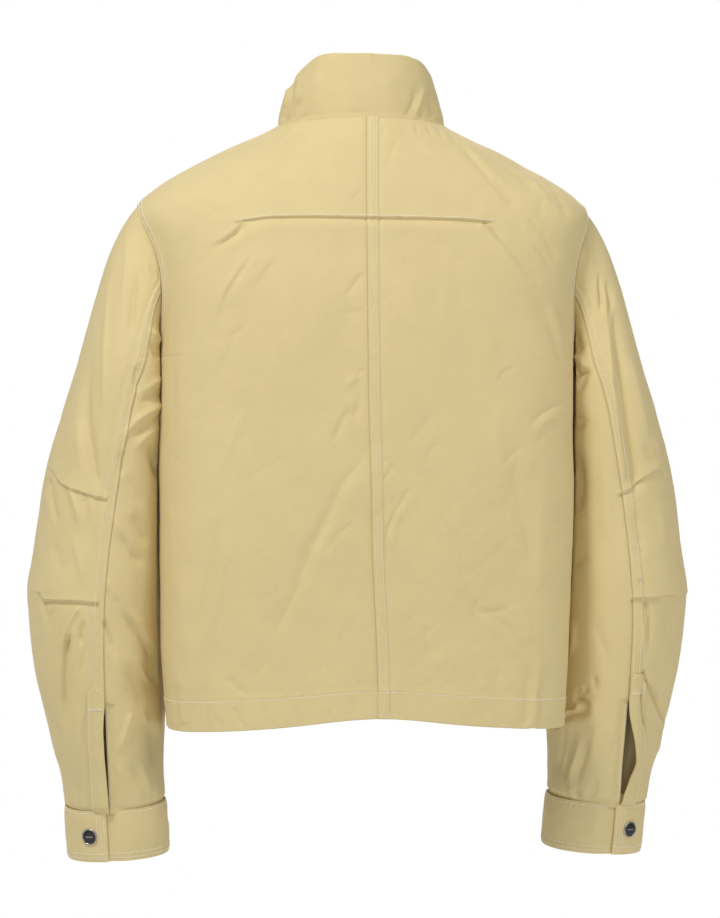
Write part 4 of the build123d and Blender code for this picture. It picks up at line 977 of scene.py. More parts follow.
    ([(436, 125), (440, 134), (444, 142)], 0.5, dict(kind="v", wa=1.5, wb=1.9, e0=0.05)),
    ([(446, 127), (451, 136), (457, 147)], 0.55, dict(kind="v", wa=1.6, wb=2.0, e0=0.05)),
    ([(288, 127), (278, 136), (266, 143)], 0.6, dict(kind="v", wa=2.0, wb=2.6, e0=0.1)),
    ([(300, 126), (292, 138), (280, 150)], 0.4, dict(kind="v", wa=2.2, wb=3.0, e0=0.1)),
    ([(316, 130), (306, 143), (298, 152)], 0.3, dict(kind="v", wa=3, wb=4)),
    # above and below the hem stitching
    ([(222, 677), (232, 684), (240, 690), (246, 696)], 0.7, dict(kind="v", wa=2.6, wb=3.4)),
    ([(272, 661), (262, 668), (255, 681)], 0.45, dict(kind="v", wa=3.0, wb=3.0)),
    ([(294, 660), (296, 676), (301, 690)], 0.35, dict(kind="v", wa=3.0, wb=3.0)),
    ([(320, 655), (328, 672), (335, 686)], 0.35, dict(kind="v", wa=3.0, wb=4.0)),
    ([(233, 707), (237, 715), (242, 725)], 0.7, dict(kind="v", wa=1.8, wb=2.2, e0=0.2, e1=0.02)),
    ([(212, 703), (214, 713), (217, 724)], 0.4, dict(kind="v", wa=1.8, wb=2.2, e0=0.2, e1=0.02)),
    ([(206, 703), (206, 713), (207, 724)], 0.35, dict(kind="v", wa=1.8, wb=2.2, e0=0.2, e1=0.02)),
    ([(328, 711), (330, 719)], 0.35, dict(kind="v", wa=1.6, wb=2.0)),
    ([(181, 672), (180.5, 690), (182, 712), (184, 724)], 0.9, dict(kind="r", wa=3.5, wb=3.0, e0=0.25, e1=0.05)),
    ([(174, 680), (175, 700), (178, 722)], 0.6, dict(kind="v", wa=2.5, wb=2.5, e0=0.25, e1=0.05)),
    ([(541, 655), (538, 676), (535, 700), (533, 728)], 1.0, dict(kind="r", wa=3.2, wb=3.2, e0=0.3, e1=0.05)),
    ([(529, 668), (527, 690), (526, 726)], 0.7, dict(kind="v", wa=2.8, wb=2.2, e0=0.3, e1=0.05)),
    ([(435, 664), (443, 676), (447, 690)], 0.4, dict(kind="v", wa=3.0, wb=4.0)),
    ([(470, 655), (478, 672), (480, 690)], 0.4, dict(kind="v", wa=4.0, wb=4.0)),
    ([(500, 668), (497, 684), (496, 697)], 0.4, dict(kind="v", wa=4.0, wb=3.0)),
    ([(425, 625), (430, 645), (438, 662)], 0.4, dict(kind="v", wa=3.0, wb=4.0)),
    ([(415, 612), (420, 640), (424, 660)], 0.35, dict(kind="r", wa=4.0, wb=4.0)),
    ([(360, 612), (348, 630), (336, 650)], 0.35, dict(kind="v", wa=5.0, wb=5.0)),
]
# small puckers along the tuck and the collar seam
for i, u in enumerate(np.linspace(262, 480, 34)):
    a = 0.16 + 0.14 * abs(math.sin(i * 2.7))
    u = u + 2.0 * math.sin(i * 5.1)
    v = 217.5 if u > 275 else 219.5
    BACK_FOLDS.append(([(u, v + 1.5), (u + 0.5 * math.sin(i), v + 9 + 5 * abs(math.sin(i * 1.7)))], a, dict(kind="v", wa=1.7, wb=1.7, e0=0.05, e1=0.7)))
    BACK_FOLDS.append(([(u + 2, v - 1.5), (u + 2, v - 7 - 3 * abs(math.sin(i * 1.3)))], a * 0.5, dict(kind="v", wa=1.6, wb=1.6, e0=0.05, e1=0.7)))
for i, u in enumerate(np.linspace(292, 440, 20)):
    u = u + 2.4 * math.sin(i * 3.3)
    BACK_FOLDS.append(([(u, 123), (u + 1.5 * math.sin(i), 130 + 3 * abs(math.sin(i * 1.9)))], 0.2, dict(kind="v", wa=1.6, wb=1.6, e0=0.05, e1=0.7)))
for i, u in enumerate(np.linspace(176, 540, 52)):
    u = u + 2.0 * math.sin(i * 4.1)
    v = 697 - 9.0 * math.exp(-((u - 376) / 75.0) ** 2) + (2.5 if u > 470 else 0)
    BACK_FOLDS.append(([(u, v - 0.5), (u + 1.5 * math.sin(i * 1.1), v - 8 - 5 * abs(math.sin(i * 1.3)))], 0.24, dict(kind="v", wa=1.8, wb=1.8, e0=0.05, e1=0.7)))
    BACK_FOLDS.append(([(u + 1, v + 1.5), (u + 2 + 2.5 * math.sin(i * 1.7), v + 14 + 10 * abs(math.sin(i * 1.9)))], 0.26, dict(kind="v", wa=1.8, wb=1.8, e0=0.05, e1=0.5)))

_rt = np.linspace(0, 2 * pi, 721)
RING = arm_ring(_rt)
RING_KD = {}
for _sd in (1, -1):
    t_ = kdtree.KDTree(len(RING))
    for i_, p_ in enumerate(sided(RING, _sd).tolist()):
        t_.insert(p_, i_)
    t_.balance()
    RING_KD[_sd] = t_


def ring_gap(P, sd):
    """distance of points from the armhole seam"""
    m = np.abs(P[..., 0] * sd - 200) < 90
    out = np.full(P.shape[:-1], 99.0)
    tr = RING_KD[sd]
    pts = P[m]
    out[m] = [tr.find(p)[2] for p in pts.tolist()]
    return out


def soft_waves(P, seed, big=0.9, mid=0.22, small=0.07):
    """slow undulation of hanging cloth with faint creases"""
    d = big * noise(turned(P, 1, 28), (62, 80, 150), seed)
    d = d + mid * noise(turned(P, 1, -35), (22, 26, 46), seed + 3)
    r = 1 - np.abs(noise(turned(P, 1, 52), (20, 24, 60), seed + 5)) * 2.2
    d = d - small * 3.0 * np.clip(r, 0, 1) ** 3 * ease(noise(P, 70, seed + 7) * 2 + 0.3)
    r = 1 - np.abs(noise(turned(P, 1, -60), (12, 14, 40), seed + 9)) * 2.4
    d = d - small * 2.0 * np.clip(r, 0, 1) ** 3 * ease(noise(P, 50, seed + 11) * 2 + 0.2)
    return d + small * noise(P, 7.0, seed + 13)


def mid_cols(a, soft, hard, n):
    """evenly spaced columns that follow the soft edge, with the last ones taking up the rest"""
    k = np.linspace(0, 1, n + 1)[:-1]
    base = a + (soft - a) * k
    return base + (hard - soft) * ease((k - 0.55) / 0.45)


def back_side(sd):
    """displaced grid of one half of the back; the -X half lies over the +X half at the centre seam"""
    fine = np.concatenate([np.arange(0, 13.0, 0.85), [14.5, 16.5]])
    cols = []
    for z, s0, e, em in zip(rows, SEAM_LL, EDGE_L, EDGE_M):
        if sd > 0:
            a, b = s0 - 4.0, e
            tail = b - np.array([6.0, 4.5, 3.2, 2.0, 1.0, 0.0])
            mid = mid_cols(a + 2.4, em - 6.0, e - 6.0, 92)
            cols.append(np.concatenate([[a, a + 1.2], mid, tail]))
        else:
            a, b = -s0, e
            tail = b - np.array([6.0, 4.5, 3.2, 2.0, 1.0, 0.0])
            mid = mid_cols(a + 18.7, em - 6.0, e - 6.0, 86)
            cols.append(-np.concatenate([a + fine, mid, tail]))
    l = np.array(cols)
    B = body_l(rows[:, None], l)
    N0 = grid_normals(B, B - axis_of(B))
    uv = sheet(B)
    d = np.zeros(B.shape[:2])
    folds(d, uv, BACK_FOLDS, 1.75)
    d += soft_waves(B, 3, big=1.6, mid=0.4, small=0.12) * (0.55 + 0.45 * ease((uv[..., 1] - 230) / 200.0))
    from_seam = np.abs(l - SEAM_LL[:, None])
    from_edge = EDGE_L[:, None] - np.abs(l)
    gap = ring_gap(B, sd)
    quiet = np.minimum(ease(from_edge / 16.0), ease(gap / 15.0)) * (0.25 + 0.75 * ease((-2.0 - rows[:, None]) / 12.0))
    d *= quiet
    d += 1.6 * ease((-rows[:, None] - 250) / 60.0) * np.exp(-((from_edge - 4) / 9.0) ** 2) * 0.5
    # fells: doubled cloth beside the seams, drawn in along the two stitch rows
    band = lambda x, w: ease((w - x) / 1.6)
    if sd < 0:
        d += 0.75 * band(from_seam, 11.0) - 0.34 * np.exp(-((from_seam - 2.2) / 0.9) ** 2) - 0.34 * np.exp(-((from_seam - 9.0) / 0.9) ** 2)
        d += 0.16 * np.sin(rows[:, None] * 0.55 + 2.5 * noise(B, 18, 31)) * np.exp(-((from_seam - 5.6) / 2.6) ** 2)
        d -= 0.5 * np.exp(-((from_seam - 12.5) / 1.8) ** 2)
    else:
        d += -0.9 * np.exp(-(np.maximum(from_seam, 0) / 3.0) ** 2) - 0.25 * ease((0.4 - (l - SEAM_LL[:, None])) / 1.0)
    armband = 0.8 * band(gap, 11.5) - 0.3 * np.exp(-((gap - 2.6) / 1.0) ** 2) - 0.3 * np.exp(-((gap - 9.6) / 1.0) ** 2)
    armband += 0.2 * np.sin(rows[:, None] * 0.8 + 3.0 * noise(B, 16, 33)) * np.exp(-((gap - 6) / 2.6) ** 2)
    d += armband * ease((gap + 1.0) / 2.0)
    # turned-up hem: the doubled cloth, held in along its stitching
    up = rows[:, None] - HEM_Z
    d += 0.35 * band(up, HEM_H + 3.0) - 0.38 * np.exp(-((up - HEM_H) / 1.3) ** 2)
    P = B + N0 * d[..., None]
    return Grid(P, grid_normals(P, N0)), l


BACK = {}
for sd, side in ((1, "left"), (-1, "right")):
    G, l = back_side(sd)
    BACK[sd] = (G, l)
    t = np.full(G.P.shape[:2], 1.15)
    t += 1.3 * ease((HEM_Z + HEM_H + 1 - rows)[:, None] / 2.0)
    o = shell("back_" + side, G.P, G.N, t, shell_mat, uv0=(0.31 * sd, 0.0), steps=3)
    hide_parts("back_%s_panel" % side)
    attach(o, "torso")


def column_line(G, dist_of, d, r0=0, r1=None):
    """points at distance d from an edge on every row; dist_of is a rows x columns array that grows along each row"""
    P, N = [], []
    r1 = G.P.shape[0] if r1 is None else r1
    for i in range(r0, r1):
        x = dist_of[i]
        P.append([np.interp(d, x, G.P[i, :, k]) for k in range(3)])
        N.append([np.interp(d, x, G.N[i, :, k]) for k in range(3)])
    return np.array(P), unit(np.array(N))


def arc_along(P):
    return np.concatenate([np.zeros((len(P), 1)), np.cumsum(np.linalg.norm(np.diff(P, axis=1), axis=-1), axis=1)], 1)


# centre seam, tuck and hem stitching
Gr, lr = BACK[-1]
Gl, ll = BACK[1]
fs = SEAM_LL[:, None] - lr
for d in (2.2, 9.0):
    P, N = column_line(Gr, fs, d, 1)
    stitch("torso", P, N)
tuck = [(234, 221.9), (240, 219.8), (251, 217.8), (271, 215.2), (312, 214.4), (368, 215.0)]
P, N = Gl.at_sheet(tuck)
stitch("torso", P, N)
tuck = [(370, 215.2), (431, 216.3), (462, 217.3), (482, 219.2), (499, 220.6)]
P, N = Gr.at_sheet(tuck)
stitch("torso", P, N)
hem_row = int(np.argmin(np.abs(rows - (HEM_Z + HEM_H))))
stitch("torso", Gl.P[hem_row, 4:], Gl.N[hem_row, 4:])
stitch("torso", Gr.P[hem_row], Gr.N[hem_row])


# ---------------------------------------------------------------- armhole stitching
def ring_rows(G, sd, th0, th1, d, group="torso"):
    th = np.radians(np.linspace(th0, th1, 150))
    R = sided(arm_ring(th), sd)
    Tn = unit(np.gradient(R, axis=0))
    C = sided(np.array([205.0, ARM_YC, ARM_ZC]), sd)
    Nn = G.drop(R)[1]
    D = unit(np.cross(Nn, Tn))
    D = D * np.sign(np.sum(D * (R - C), axis=-1, keepdims=True))
    P, N = G.drop(R + D * d)
    stitch(group, P, N, pitch=2.7, length=1.9)


for sd in (1, -1):
    for d in (2.6, 9.6):
        ring_rows(BACK[sd][0], sd, 6 if d < 5 else 12, 172, d)

# ---------------------------------------------------------------- sleeves
_sv = [-100, -162, -188, -216, -240, -265, -289, -322, -358, -407, -442, -477, -511, -560, -640, -690]
SEAM_B = {1: pchip(_sv, [205, 204, 213, 219.5, 224, 232, 238, 244, 250, 257, 261, 263.5, 264, 262.5, 257.5, 254]),
          -1: pchip(_sv, [205, 204, 213, 219.5, 224, 232, 238, 244, 250, 257, 261, 264, 265, 264.5, 262, 261])}
SLIT_V = -572.0

SLEEVE_FOLDS = {
    1: [
        # elbow darts: a ledge with the cloth turned under below it
        ([(108, 500), (99, 498.5), (84, 493.5), (69, 488.5), (58, 481.5), (54, 474), (44, 466), (36, 463)], 0.8, dict(kind="s", wa=5.0, wb=7.0, w0=0.5, e0=0.03, e1=0.35, p=1.0), 1),
        ([(99, 603), (82, 602.2), (54, 601.2), (42, 599.5), (40, 593), (30, 594.5)], 0.85, dict(kind="s", wa=5.0, wb=8.0, w0=0.5, e0=0.03, e1=0.2, p=1.0), 1),
        # upper sleeve
        ([(135.5, 268), (134.5, 288), (132.5, 308), (131.5, 328), (130, 346)], 2.0, dict(kind="v", wa=4.5, wb=3.5, e0=0.25, e1=0.4)),
        ([(128, 232), (126, 262), (124, 292), (123, 322)], 0.8, dict(kind="r", wa=3.5, wb=3.0, e0=0.3, e1=0.4)),
        ([(115, 258), (109, 290), (106, 325), (104.5, 365), (104, 405), (103, 445)], 1.0, dict(kind="r", wa=3.4, wb=2.2, e0=0.3, e1=0.3)),
        ([(97, 340), (90, 370), (86.5, 392), (88, 420), (92, 448), (96, 472), (99, 492)], 2.0, dict(kind="v", wa=5.5, wb=4.0, e0=0.3, e1=0.12, p=1.3)),
        ([(80, 395), (78, 425), (80, 455), (84, 480)], 1.0, dict(kind="r", wa=6.0, wb=5.0, e0=0.3, e1=0.2)),
        ([(65, 425), (60, 445), (62, 470)], 0.6, dict(kind="v", wa=5.0, wb=5.0)),
        ([(142, 262), (141, 272), (146, 281)], 0.5, dict(kind="v", wa=2.0, wb=2.4)),
        ([(150, 262), (152, 272), (157, 280)], 0.7, dict(kind="v", wa=2.0, wb=2.4)),
        ([(158, 268), (160, 276), (163, 283)], 0.7, dict(kind="v", wa=1.8, wb=2.0)),
        # below the upper dart
        ([(69, 489), (73.5, 501), (77.5, 515), (80, 532)], 1.3, dict(kind="r", wa=1.8, wb=2.6, e0=0.05, e1=0.45)),
        ([(64, 489), (67, 505), (70, 522)], 0.7, dict(kind="v", wa=3.0, wb=3.0, e0=0.1, e1=0.45)),
        ([(47, 476), (49, 492), (53, 509), (58, 528)], 1.4, dict(kind="v", wa=2.6, wb=3.6, e0=0.15, e1=0.4)),
        ([(84, 496), (86, 515), (84, 536), (82, 552)], 0.8, dict(kind="v", wa=3.5, wb=4.5, e0=0.1, e1=0.4)),
        ([(71, 532), (76, 552), (81, 572), (86, 590)], 0.8, dict(kind="r", wa=2.4, wb=3.4)),
        ([(52, 540), (58, 560), (66, 580)], 0.7, dict(kind="v", wa=5, wb=6)),
        ([(91, 498), (91, 512), (89, 526)], 0.5, dict(kind="r", wa=2.4, wb=2.4, e0=0.05)),
        # below the lower dart
        ([(80, 605), (73, 617), (67.5, 630), (63, 644), (61, 660)], 1.6, dict(kind="r", wa=1.9, wb=2.8, e0=0.12, e1=0.4)),
        ([(69.5, 632), (66, 650), (64, 672), (63.5, 696), (65, 715), (68, 735)], 2.8, dict(kind="v", wa=3.6, wb=3.0, e0=0.12, e1=0.3, p=1.4)),
        ([(83.5, 618), (82, 632), (80.5, 648)], 1.6, dict(kind="v", wa=2.2, wb=1.8, e0=0.2, e1=0.3)),
        ([(77, 612), (74, 628), (73, 650), (73, 680)], 0.9, dict(kind="r", wa=2.4, wb=3.4)),
        ([(55, 604), (50, 618), (48, 634)], 1.0, dict(kind="v", wa=3.0, wb=2.6)),
        ([(42, 601), (44, 612), (46, 622)], 1.0, dict(kind="v", wa=1.8, wb=2.2, e0=0.1)),
        ([(86, 640), (84, 660), (78, 678)], 0.6, dict(kind="v", wa=2.4, wb=2.8)),
        ([(75, 700), (78, 730), (77, 765), (76, 795)], 0.8, dict(kind="r", wa=4.0, wb=5.0)),
        ([(86, 706), (84, 730), (84, 760)], 0.6, dict(kind="v", wa=2.0, wb=2.4)),
        ([(71, 770), (74, 785), (76, 800)], 0.6, dict(kind="v", wa=2.4, wb=2.8)),
        # under sleeve, between the seam and the body
        ([(147, 327), (155, 335), (164, 347)], 1.2, dict(kind="r", wa=3.0, wb=3.4)),
        ([(150, 340), (154, 350), (160, 362)], 1.3, dict(kind="v", wa=3.0, wb=3.4)),
        ([(137, 362), (136, 378), (139, 393)], 1.6, dict(kind="v", wa=3.6, wb=4.0)),
        ([(141, 394), (150, 386), (164, 376)], 1.1, dict(kind="r", wa=3.0, wb=3.4)),
        ([(138, 402), (150, 398), (165, 388)], 1.4, dict(kind="v", wa=3.2, wb=3.4)),
        ([(123, 447), (127, 432), (137, 420), (150, 411), (165, 403)], 1.7, dict(kind="r", wa=3.2, wb=3.6, e0=0.2, e1=0.1)),
        ([(131, 440), (141, 430), (152, 421), (164, 415)], 1.5, dict(kind="v", wa=2.8, wb=3.2)),
        ([(134, 452), (146, 436), (162, 424)], 1.2, dict(kind="r", wa=2.6, wb=3.2)),
        ([(147, 437), (151, 452), (156, 467), (163, 482)], 2.6, dict(kind="v", wa=4.5, wb=6.0)),
        ([(119, 447), (122, 462), (121, 478)], 1.3, dict(kind="v", wa=3.5, wb=3.5)),
        ([(126, 470), (134, 490), (144, 510)], 0.9, dict(kind="v", wa=5.0, wb=6.0)),
        ([(110, 508), (118, 528), (127, 546), (138, 562)], 1.5, dict(kind="r", wa=4.0, wb=4.0)),
        ([(118, 530), (128, 549), (139, 561), (148, 569)], 2.2, dict(kind="v", wa=3.6, wb=4.6, e0=0.25, e1=0.2)),
        ([(131, 510), (140, 530), (150, 548)], 1.6, dict(kind="v", wa=5.0, wb=6.0)),
        ([(104, 575), (112, 590), (120, 602)], 0.9, dict(kind="r", wa=4.0, wb=4.0)),
        ([(119, 607), (128, 621), (139, 636), (149, 650), (158, 664)], 2.6, dict(kind="v", wa=4.0, wb=5.0, e0=0.2, e1=0.2)),
        ([(127, 607), (138, 622), (150, 640), (159, 655)], 1.4, dict(kind="r", wa=3.4, wb=3.4)),
        ([(103, 618), (107, 634), (112, 652), (113, 668)], 1.4, dict(kind="v", wa=1.8, wb=2.4, e0=0.15, e1=0.4)),
        ([(108, 640), (116, 660), (121, 680), (125, 700)], 1.3, dict(kind="r", wa=4.0, wb=4.0)),
        ([(133, 656), (142, 670), (150, 680), (160, 690)], 1.6, dict(kind="r", wa=2.6, wb=3.0)),
        ([(128, 660), (134, 680), (140, 698), (146, 712)], 2.6, dict(kind="v", wa=5.0, wb=12.0, e0=0.25, e1=0.2)),
        ([(150, 640), (152, 668), (156, 700)], 2.4, dict(kind="v", wa=8.0, wb=10.0, e0=0.3, e1=0.2)),
        ([(131, 712), (127, 726), (122, 742), (116, 757)], 1.9, dict(kind="r", wa=2.2, wb=2.6, e0=0.15, e1=0.4)),
        ([(136, 716), (132, 735), (126, 752)], 0.9, dict(kind="v", wa=2.4, wb=2.6)),
        ([(140, 708), (145, 718), (149, 727)], 1.1, dict(kind="r", wa=1.9, wb=2.2)),
        ([(158, 712), (160, 730), (161, 755), (160, 780)], 1.4, dict(kind="r", wa=2.6, wb=2.6)),
        ([(152, 722), (154, 745), (153, 770)], 1.2, dict(kind="v", wa=2.8, wb=2.8)),
        ([(131, 755), (136, 775), (143, 794)], 1.3, dict(kind="v", wa=4.0, wb=5.0)),
        ([(141, 762), (148, 782), (152, 796)], 0.9, dict(kind="r", wa=2.6, wb=2.6)),
        ([(113, 765), (120, 772), (124, 785)], 0.7, dict(kind="r", wa=2.4, wb=2.6)),
    ],
    -1: [
        ([(617, 495.5), (629, 490), (640, 481), (650, 474), (657, 470.5), (666, 477)], -0.8, dict(kind="s", wa=7.0, wb=5.0, w0=0.55, e0=0.03, e1=0.1, p=1.0)),
        ([(630, 599.5), (643, 598.8), (663, 597.4), (691, 593)], -0.85, dict(kind="s", wa=8.0, wb=5.0, w0=0.55, e0=0.03, e1=0.02, p=1.0)),
        # upper sleeve: the long valley down its back
        ([(609, 292), (613.5, 310), (617, 338), (621.5, 370), (625.5, 400), (628.5, 430), (633, 460), (635, 480), (636, 496)], 3.4, dict(kind="v", wa=4.4, wb=5.0, e0=0.22, e1=0.10, p=1.4)),
        ([(604, 300), (609, 340), (613, 385), (618, 430), (622.5, 465), (625, 488)], 1.3, dict(kind="r", wa=3.0, wb=2.6, e0=0.25, e1=0.1)),
        ([(628, 345), (636, 385), (645, 425), (652, 456)], 1.1, dict(kind="r", wa=5.0, wb=6.0, e0=0.25, e1=0.2)),
        ([(599, 270), (599.5, 284), (600.5, 300), (600, 316)], 1.7, dict(kind="v", wa=1.6, wb=2.2, e0=0.2, e1=0.3)),
        ([(605.5, 278), (609, 292), (611, 304), (608, 317)], 1.5, dict(kind="v", wa=2.6, wb=2.6, e0=0.2, e1=0.3)),
        ([(603.5, 285), (605, 304), (607, 324)], 0.8, dict(kind="r", wa=1.6, wb=1.6)),
        ([(584, 232), (590, 256), (595, 276)], 0.6, dict(kind="r", wa=2.6, wb=2.6)),
        ([(596, 320), (592, 312), (590, 300)], 0.5, dict(kind="v", wa=2.4, wb=2.4)),
        ([(650, 436), (656, 446), (661, 459)], 0.9, dict(kind="r", wa=2.6, wb=2.6)),
        ([(643, 440), (650, 455), (657, 468)], 0.8, dict(kind="v", wa=3.0, wb=3.0)),
        # below the darts
        ([(634, 505), (637, 525), (641, 545), (648, 556)], 1.0, dict(kind="v", wa=4.0, wb=5.0)),
        ([(633, 548), (639, 552), (646, 555)], 0.6, dict(kind="v", wa=1.8, wb=1.8)),
        ([(639, 580), (645, 584), (650, 588)], 0.7, dict(kind="v", wa=1.4, wb=1.8, e0=0.1)),
        ([(660, 500), (663, 530), (664, 560)], 0.7, dict(kind="r", wa=6.0, wb=6.0)),
        ([(673, 540), (676, 565), (684, 585)], 0.7, dict(kind="v", wa=5.0, wb=4.0)),
        ([(643, 600), (647, 609), (649.5, 620), (648.5, 636), (648, 650)], 1.4, dict(kind="v", wa=1.6, wb=2.2, e0=0.1, e1=0.35)),
        ([(644, 616), (644.5, 636), (645, 660)], 0.9, dict(kind="r", wa=2.0, wb=1.6)),
        ([(641.5, 671), (647, 683), (654, 698), (660, 710), (666.5, 724)], 2.2, dict(kind="v", wa=1.5, wb=2.2, e0=0.04, e1=0.06, p=1.2)),
        ([(646, 675), (654, 690), (662, 706)], 0.9, dict(kind="r", wa=2.4, wb=2.4)),
        ([(663, 640), (666, 665), (666, 690)], 0.8, dict(kind="r", wa=5.0, wb=5.0)),
        ([(672, 600), (668, 625), (669, 650)], 0.8, dict(kind="v", wa=5.0, wb=5.0)),
        ([(656, 732), (661, 731), (666, 730)], 1.0, dict(kind="v", wa=2.2, wb=2.0)),
        ([(652, 720), (657, 740), (659, 760)], 0.7, dict(kind="r", wa=2.6, wb=2.6)),
        ([(641, 690), (641, 715), (643.5, 737)], 1.6, dict(kind="v", wa=1.4, wb=1.6, e0=0.05, e1=0.3)),
        ([(646, 745), (649, 775), (648, 800)], 0.8, dict(kind="v", wa=3.0, wb=4.0)),
        # under sleeve
        ([(571, 330), (578, 342), (583, 356)], 1.6, dict(kind="v", wa=4.0, wb=4.0)),
        ([(572, 352), (580, 361), (588, 369)], 1.4, dict(kind="r", wa=2.4, wb=2.8)),
        ([(571, 366), (579, 374), (586, 373), (583, 384), (575, 396)], 2.4, dict(kind="v", wa=3.0, wb=3.6, e0=0.1, e1=0.2)),
        ([(571, 407), (577, 417), (584, 420), (592, 424)], 0.9, dict(kind="v", wa=2.0, wb=2.4)),
        ([(574, 430), (580, 425), (588, 426)], 1.4, dict(kind="v", wa=3.0, wb=4.0)),
        ([(577, 442), (579, 462), (582, 482), (581, 500), (577, 520)], 3.0, dict(kind="v", wa=7.0, wb=4.5, e0=0.25, e1=0.2)),
        ([(574, 518), (583, 516), (592, 521)], 0.5, dict(kind="v", wa=2.0, wb=2.6)),
        ([(600, 430), (604, 470), (607, 520), (610, 560)], 0.9, dict(kind="r", wa=7.0, wb=6.0)),
        ([(574, 570), (582, 560), (589, 552)], 0.9, dict(kind="v", wa=5.0, wb=6.0)),
        ([(574, 615), (575, 640), (570, 660)], 1.6, dict(kind="r", wa=2.0, wb=2.0)),
        ([(596, 610), (600, 640), (606, 655), (603, 680)], 1.0, dict(kind="v", wa=4.0, wb=5.0)),
        ([(595, 674), (596, 684), (594, 693)], 1.9, dict(kind="v", wa=1.8, wb=2.2)),
        ([(588, 684), (587, 690), (586, 696)], 1.3, dict(kind="v", wa=1.6, wb=1.8)),
        ([(580, 686), (580, 692), (578, 697)], 1.0, dict(kind="v", wa=1.6, wb=1.8)),
        ([(575, 697), (582, 700), (588, 706), (584, 714), (572, 716), (560, 722), (553, 728)], 3.0, dict(kind="v", wa=4.0, wb=3.0, e0=0.1, e1=0.1)),
        ([(572, 700), (579, 705), (577, 710), (566, 712), (556, 717)], 2.2, dict(kind="r", wa=2.0, wb=2.0)),
        ([(590, 700), (594, 712), (590, 724)], 1.4, dict(kind="r", wa=3.0, wb=3.0)),
        ([(566, 722), (564, 745), (558, 775)], 1.2, dict(kind="v", wa=2.2, wb=2.4)),
        ([(575, 727), (570, 750), (565, 775), (567, 795)], 1.5, dict(kind="v", wa=2.2, wb=2.6)),
        ([(581, 730), (578, 750), (572, 770), (568, 786)], 1.6, dict(kind="r", wa=2.2, wb=2.6)),
        ([(588, 735), (586, 755), (580, 772), (577, 790)], 1.4, dict(kind="v", wa=2.6, wb=2.8)),
        ([(597, 715), (594, 740), (588, 765)], 0.9, dict(kind="r", wa=3.0, wb=3.4)),
        ([(615, 735), (612, 755), (609, 775)], 0.7, dict(kind="v", wa=2.2, wb=2.6)),
        ([(594, 775), (596, 787), (592, 799)], 0.9, dict(kind="v", wa=2.4, wb=2.6)),
        ([(576, 788), (578, 796), (582, 802)], 1.0, dict(kind="v", wa=1.8, wb=1.8, e1=0.05)),
        ([(568, 786), (571, 795), (575, 801)], 1.0, dict(kind="r", wa=1.8, wb=1.8, e1=0.05)),
    ],
}
# folds on the front and inner side of each sleeve: (mm round from the front line, height)
FRONT_SLEEVE_FOLDS = [
    ([(-70, -395), (-45, -404), (-15, -420), (10, -440)], 1.9, dict(kind="v", wa=4.0, wb=5.0)),
    ([(-75, -415), (-40, -425), (-8, -446), (15, -470)], 1.2, dict(kind="r", wa=5.0, wb=5.0)),
    ([(-78, -440), (-40, -447), (-5, -462), (30, -486)], 1.8, dict(kind="v", wa=4.0, wb=5.0)),
    ([(-70, -470), (-30, -474), (5, -486)], 1.3, dict(kind="v", wa=4.0, wb=6.0)),
    ([(60, -330), (40, -352), (15, -372), (-10, -386)], 1.2, dict(kind="v", wa=5.0, wb=6.0)),
    ([(70, -300), (52, -350), (40, -400), (36, -450)], 1.1, dict(kind="v", wa=6.0, wb=7.0)),
    ([(-40, -300), (-30, -330), (-26, -370)], 1.0, dict(kind="v", wa=6.0, wb=7.0)),
    ([(0, -280), (6, -320), (2, -360)], 0.8, dict(kind="r", wa=8.0, wb=8.0)),
    ([(40, -500), (20, -530), (10, -570), (14, -610)], 1.3, dict(kind="v", wa=5.0, wb=6.0)),
    ([(-50, -500), (-34, -540), (-30, -585)], 1.3, dict(kind="v", wa=5.0, wb=6.0)),
    ([(0, -560), (-12, -600), (-8, -640)], 1.1, dict(kind="r", wa=6.0, wb=6.0)),
    ([(36, -590), (30, -625), (26, -660)], 1.2, dict(kind="v", wa=4.0, wb=5.0)),
    ([(-60, -600), (-52, -632), (-50, -664)], 1.2, dict(kind="v", wa=4.0, wb=5.0)),
    ([(80, -440), (60, -462), (44, -480)], 1.1, dict(kind="v", wa=4.0, wb=4.0)),
    ([(90, -520), (76, -560), (70, -600)], 1.0, dict(kind="v", wa=5.0, wb=6.0)),
]
RECESS = {1: pchip([-760, -690, -676, -640, -590, -560, -500, -440, -400, -350, -300, -262, -230], [0, 0, 1, 7, 11, 10, 9, 9, 8, 8, 4, 1, 0]),
          -1: pchip([-760, -690, -676, -640, -590, -560, -500, -440, -400, -350, -300, -262, -230], [0, 0, 1, 6, 7, 8, 10, 10, 9, 8, 5, 1, 0])}
GAPE = {}
GAPE[1] = pchip([-720, -690, -668, -645, -620, -600, -585, -572, -560, -400], [0.3, 0.3, 0.6, 1.4, 2.4, 2.4, 1.4, 0, 0, 0])
GAPE[-1] = pchip([-720, -690, -672, -652, -632, -615, -598, -585, -572, -400], [0.6, 0.8, 1.8, 7.0, 12.5, 10.0, 5.0, 1.6, 0, 0])


def folds3(d, uv, table, face):
    for row in table:
        e, kw = np.zeros(d.shape), dict(row[2])
        if kw.get("kind") != "s":
            kw["e0"], kw["e1"] = [x if x < 0.17 else max(x, 0.36) for x in (kw.get("e0", 0.36), kw.get("e1", 0.36))]
        crease(e, uv, row[0], row[1] * (row[3] if len(row) > 3 else 1), **kw)
        d += e * face


def seam_angle(q, sd):
    ths = np.radians(np.linspace(42, 165, 247))
    P = sleeve(np.full(247, q), ths)
    g = P[:, 0] - SEAM_B[sd](P[:, 2])
    k = int(np.argmax(g < 0)) if (g < 0).any() else 246
    k = max(k, 1)
    t = g[k - 1] / (g[k - 1] - g[k]) if g[k - 1] > g[k] else 0
    return ths[k - 1] + (ths[k] - ths[k - 1]) * min(max(t, 0), 1)


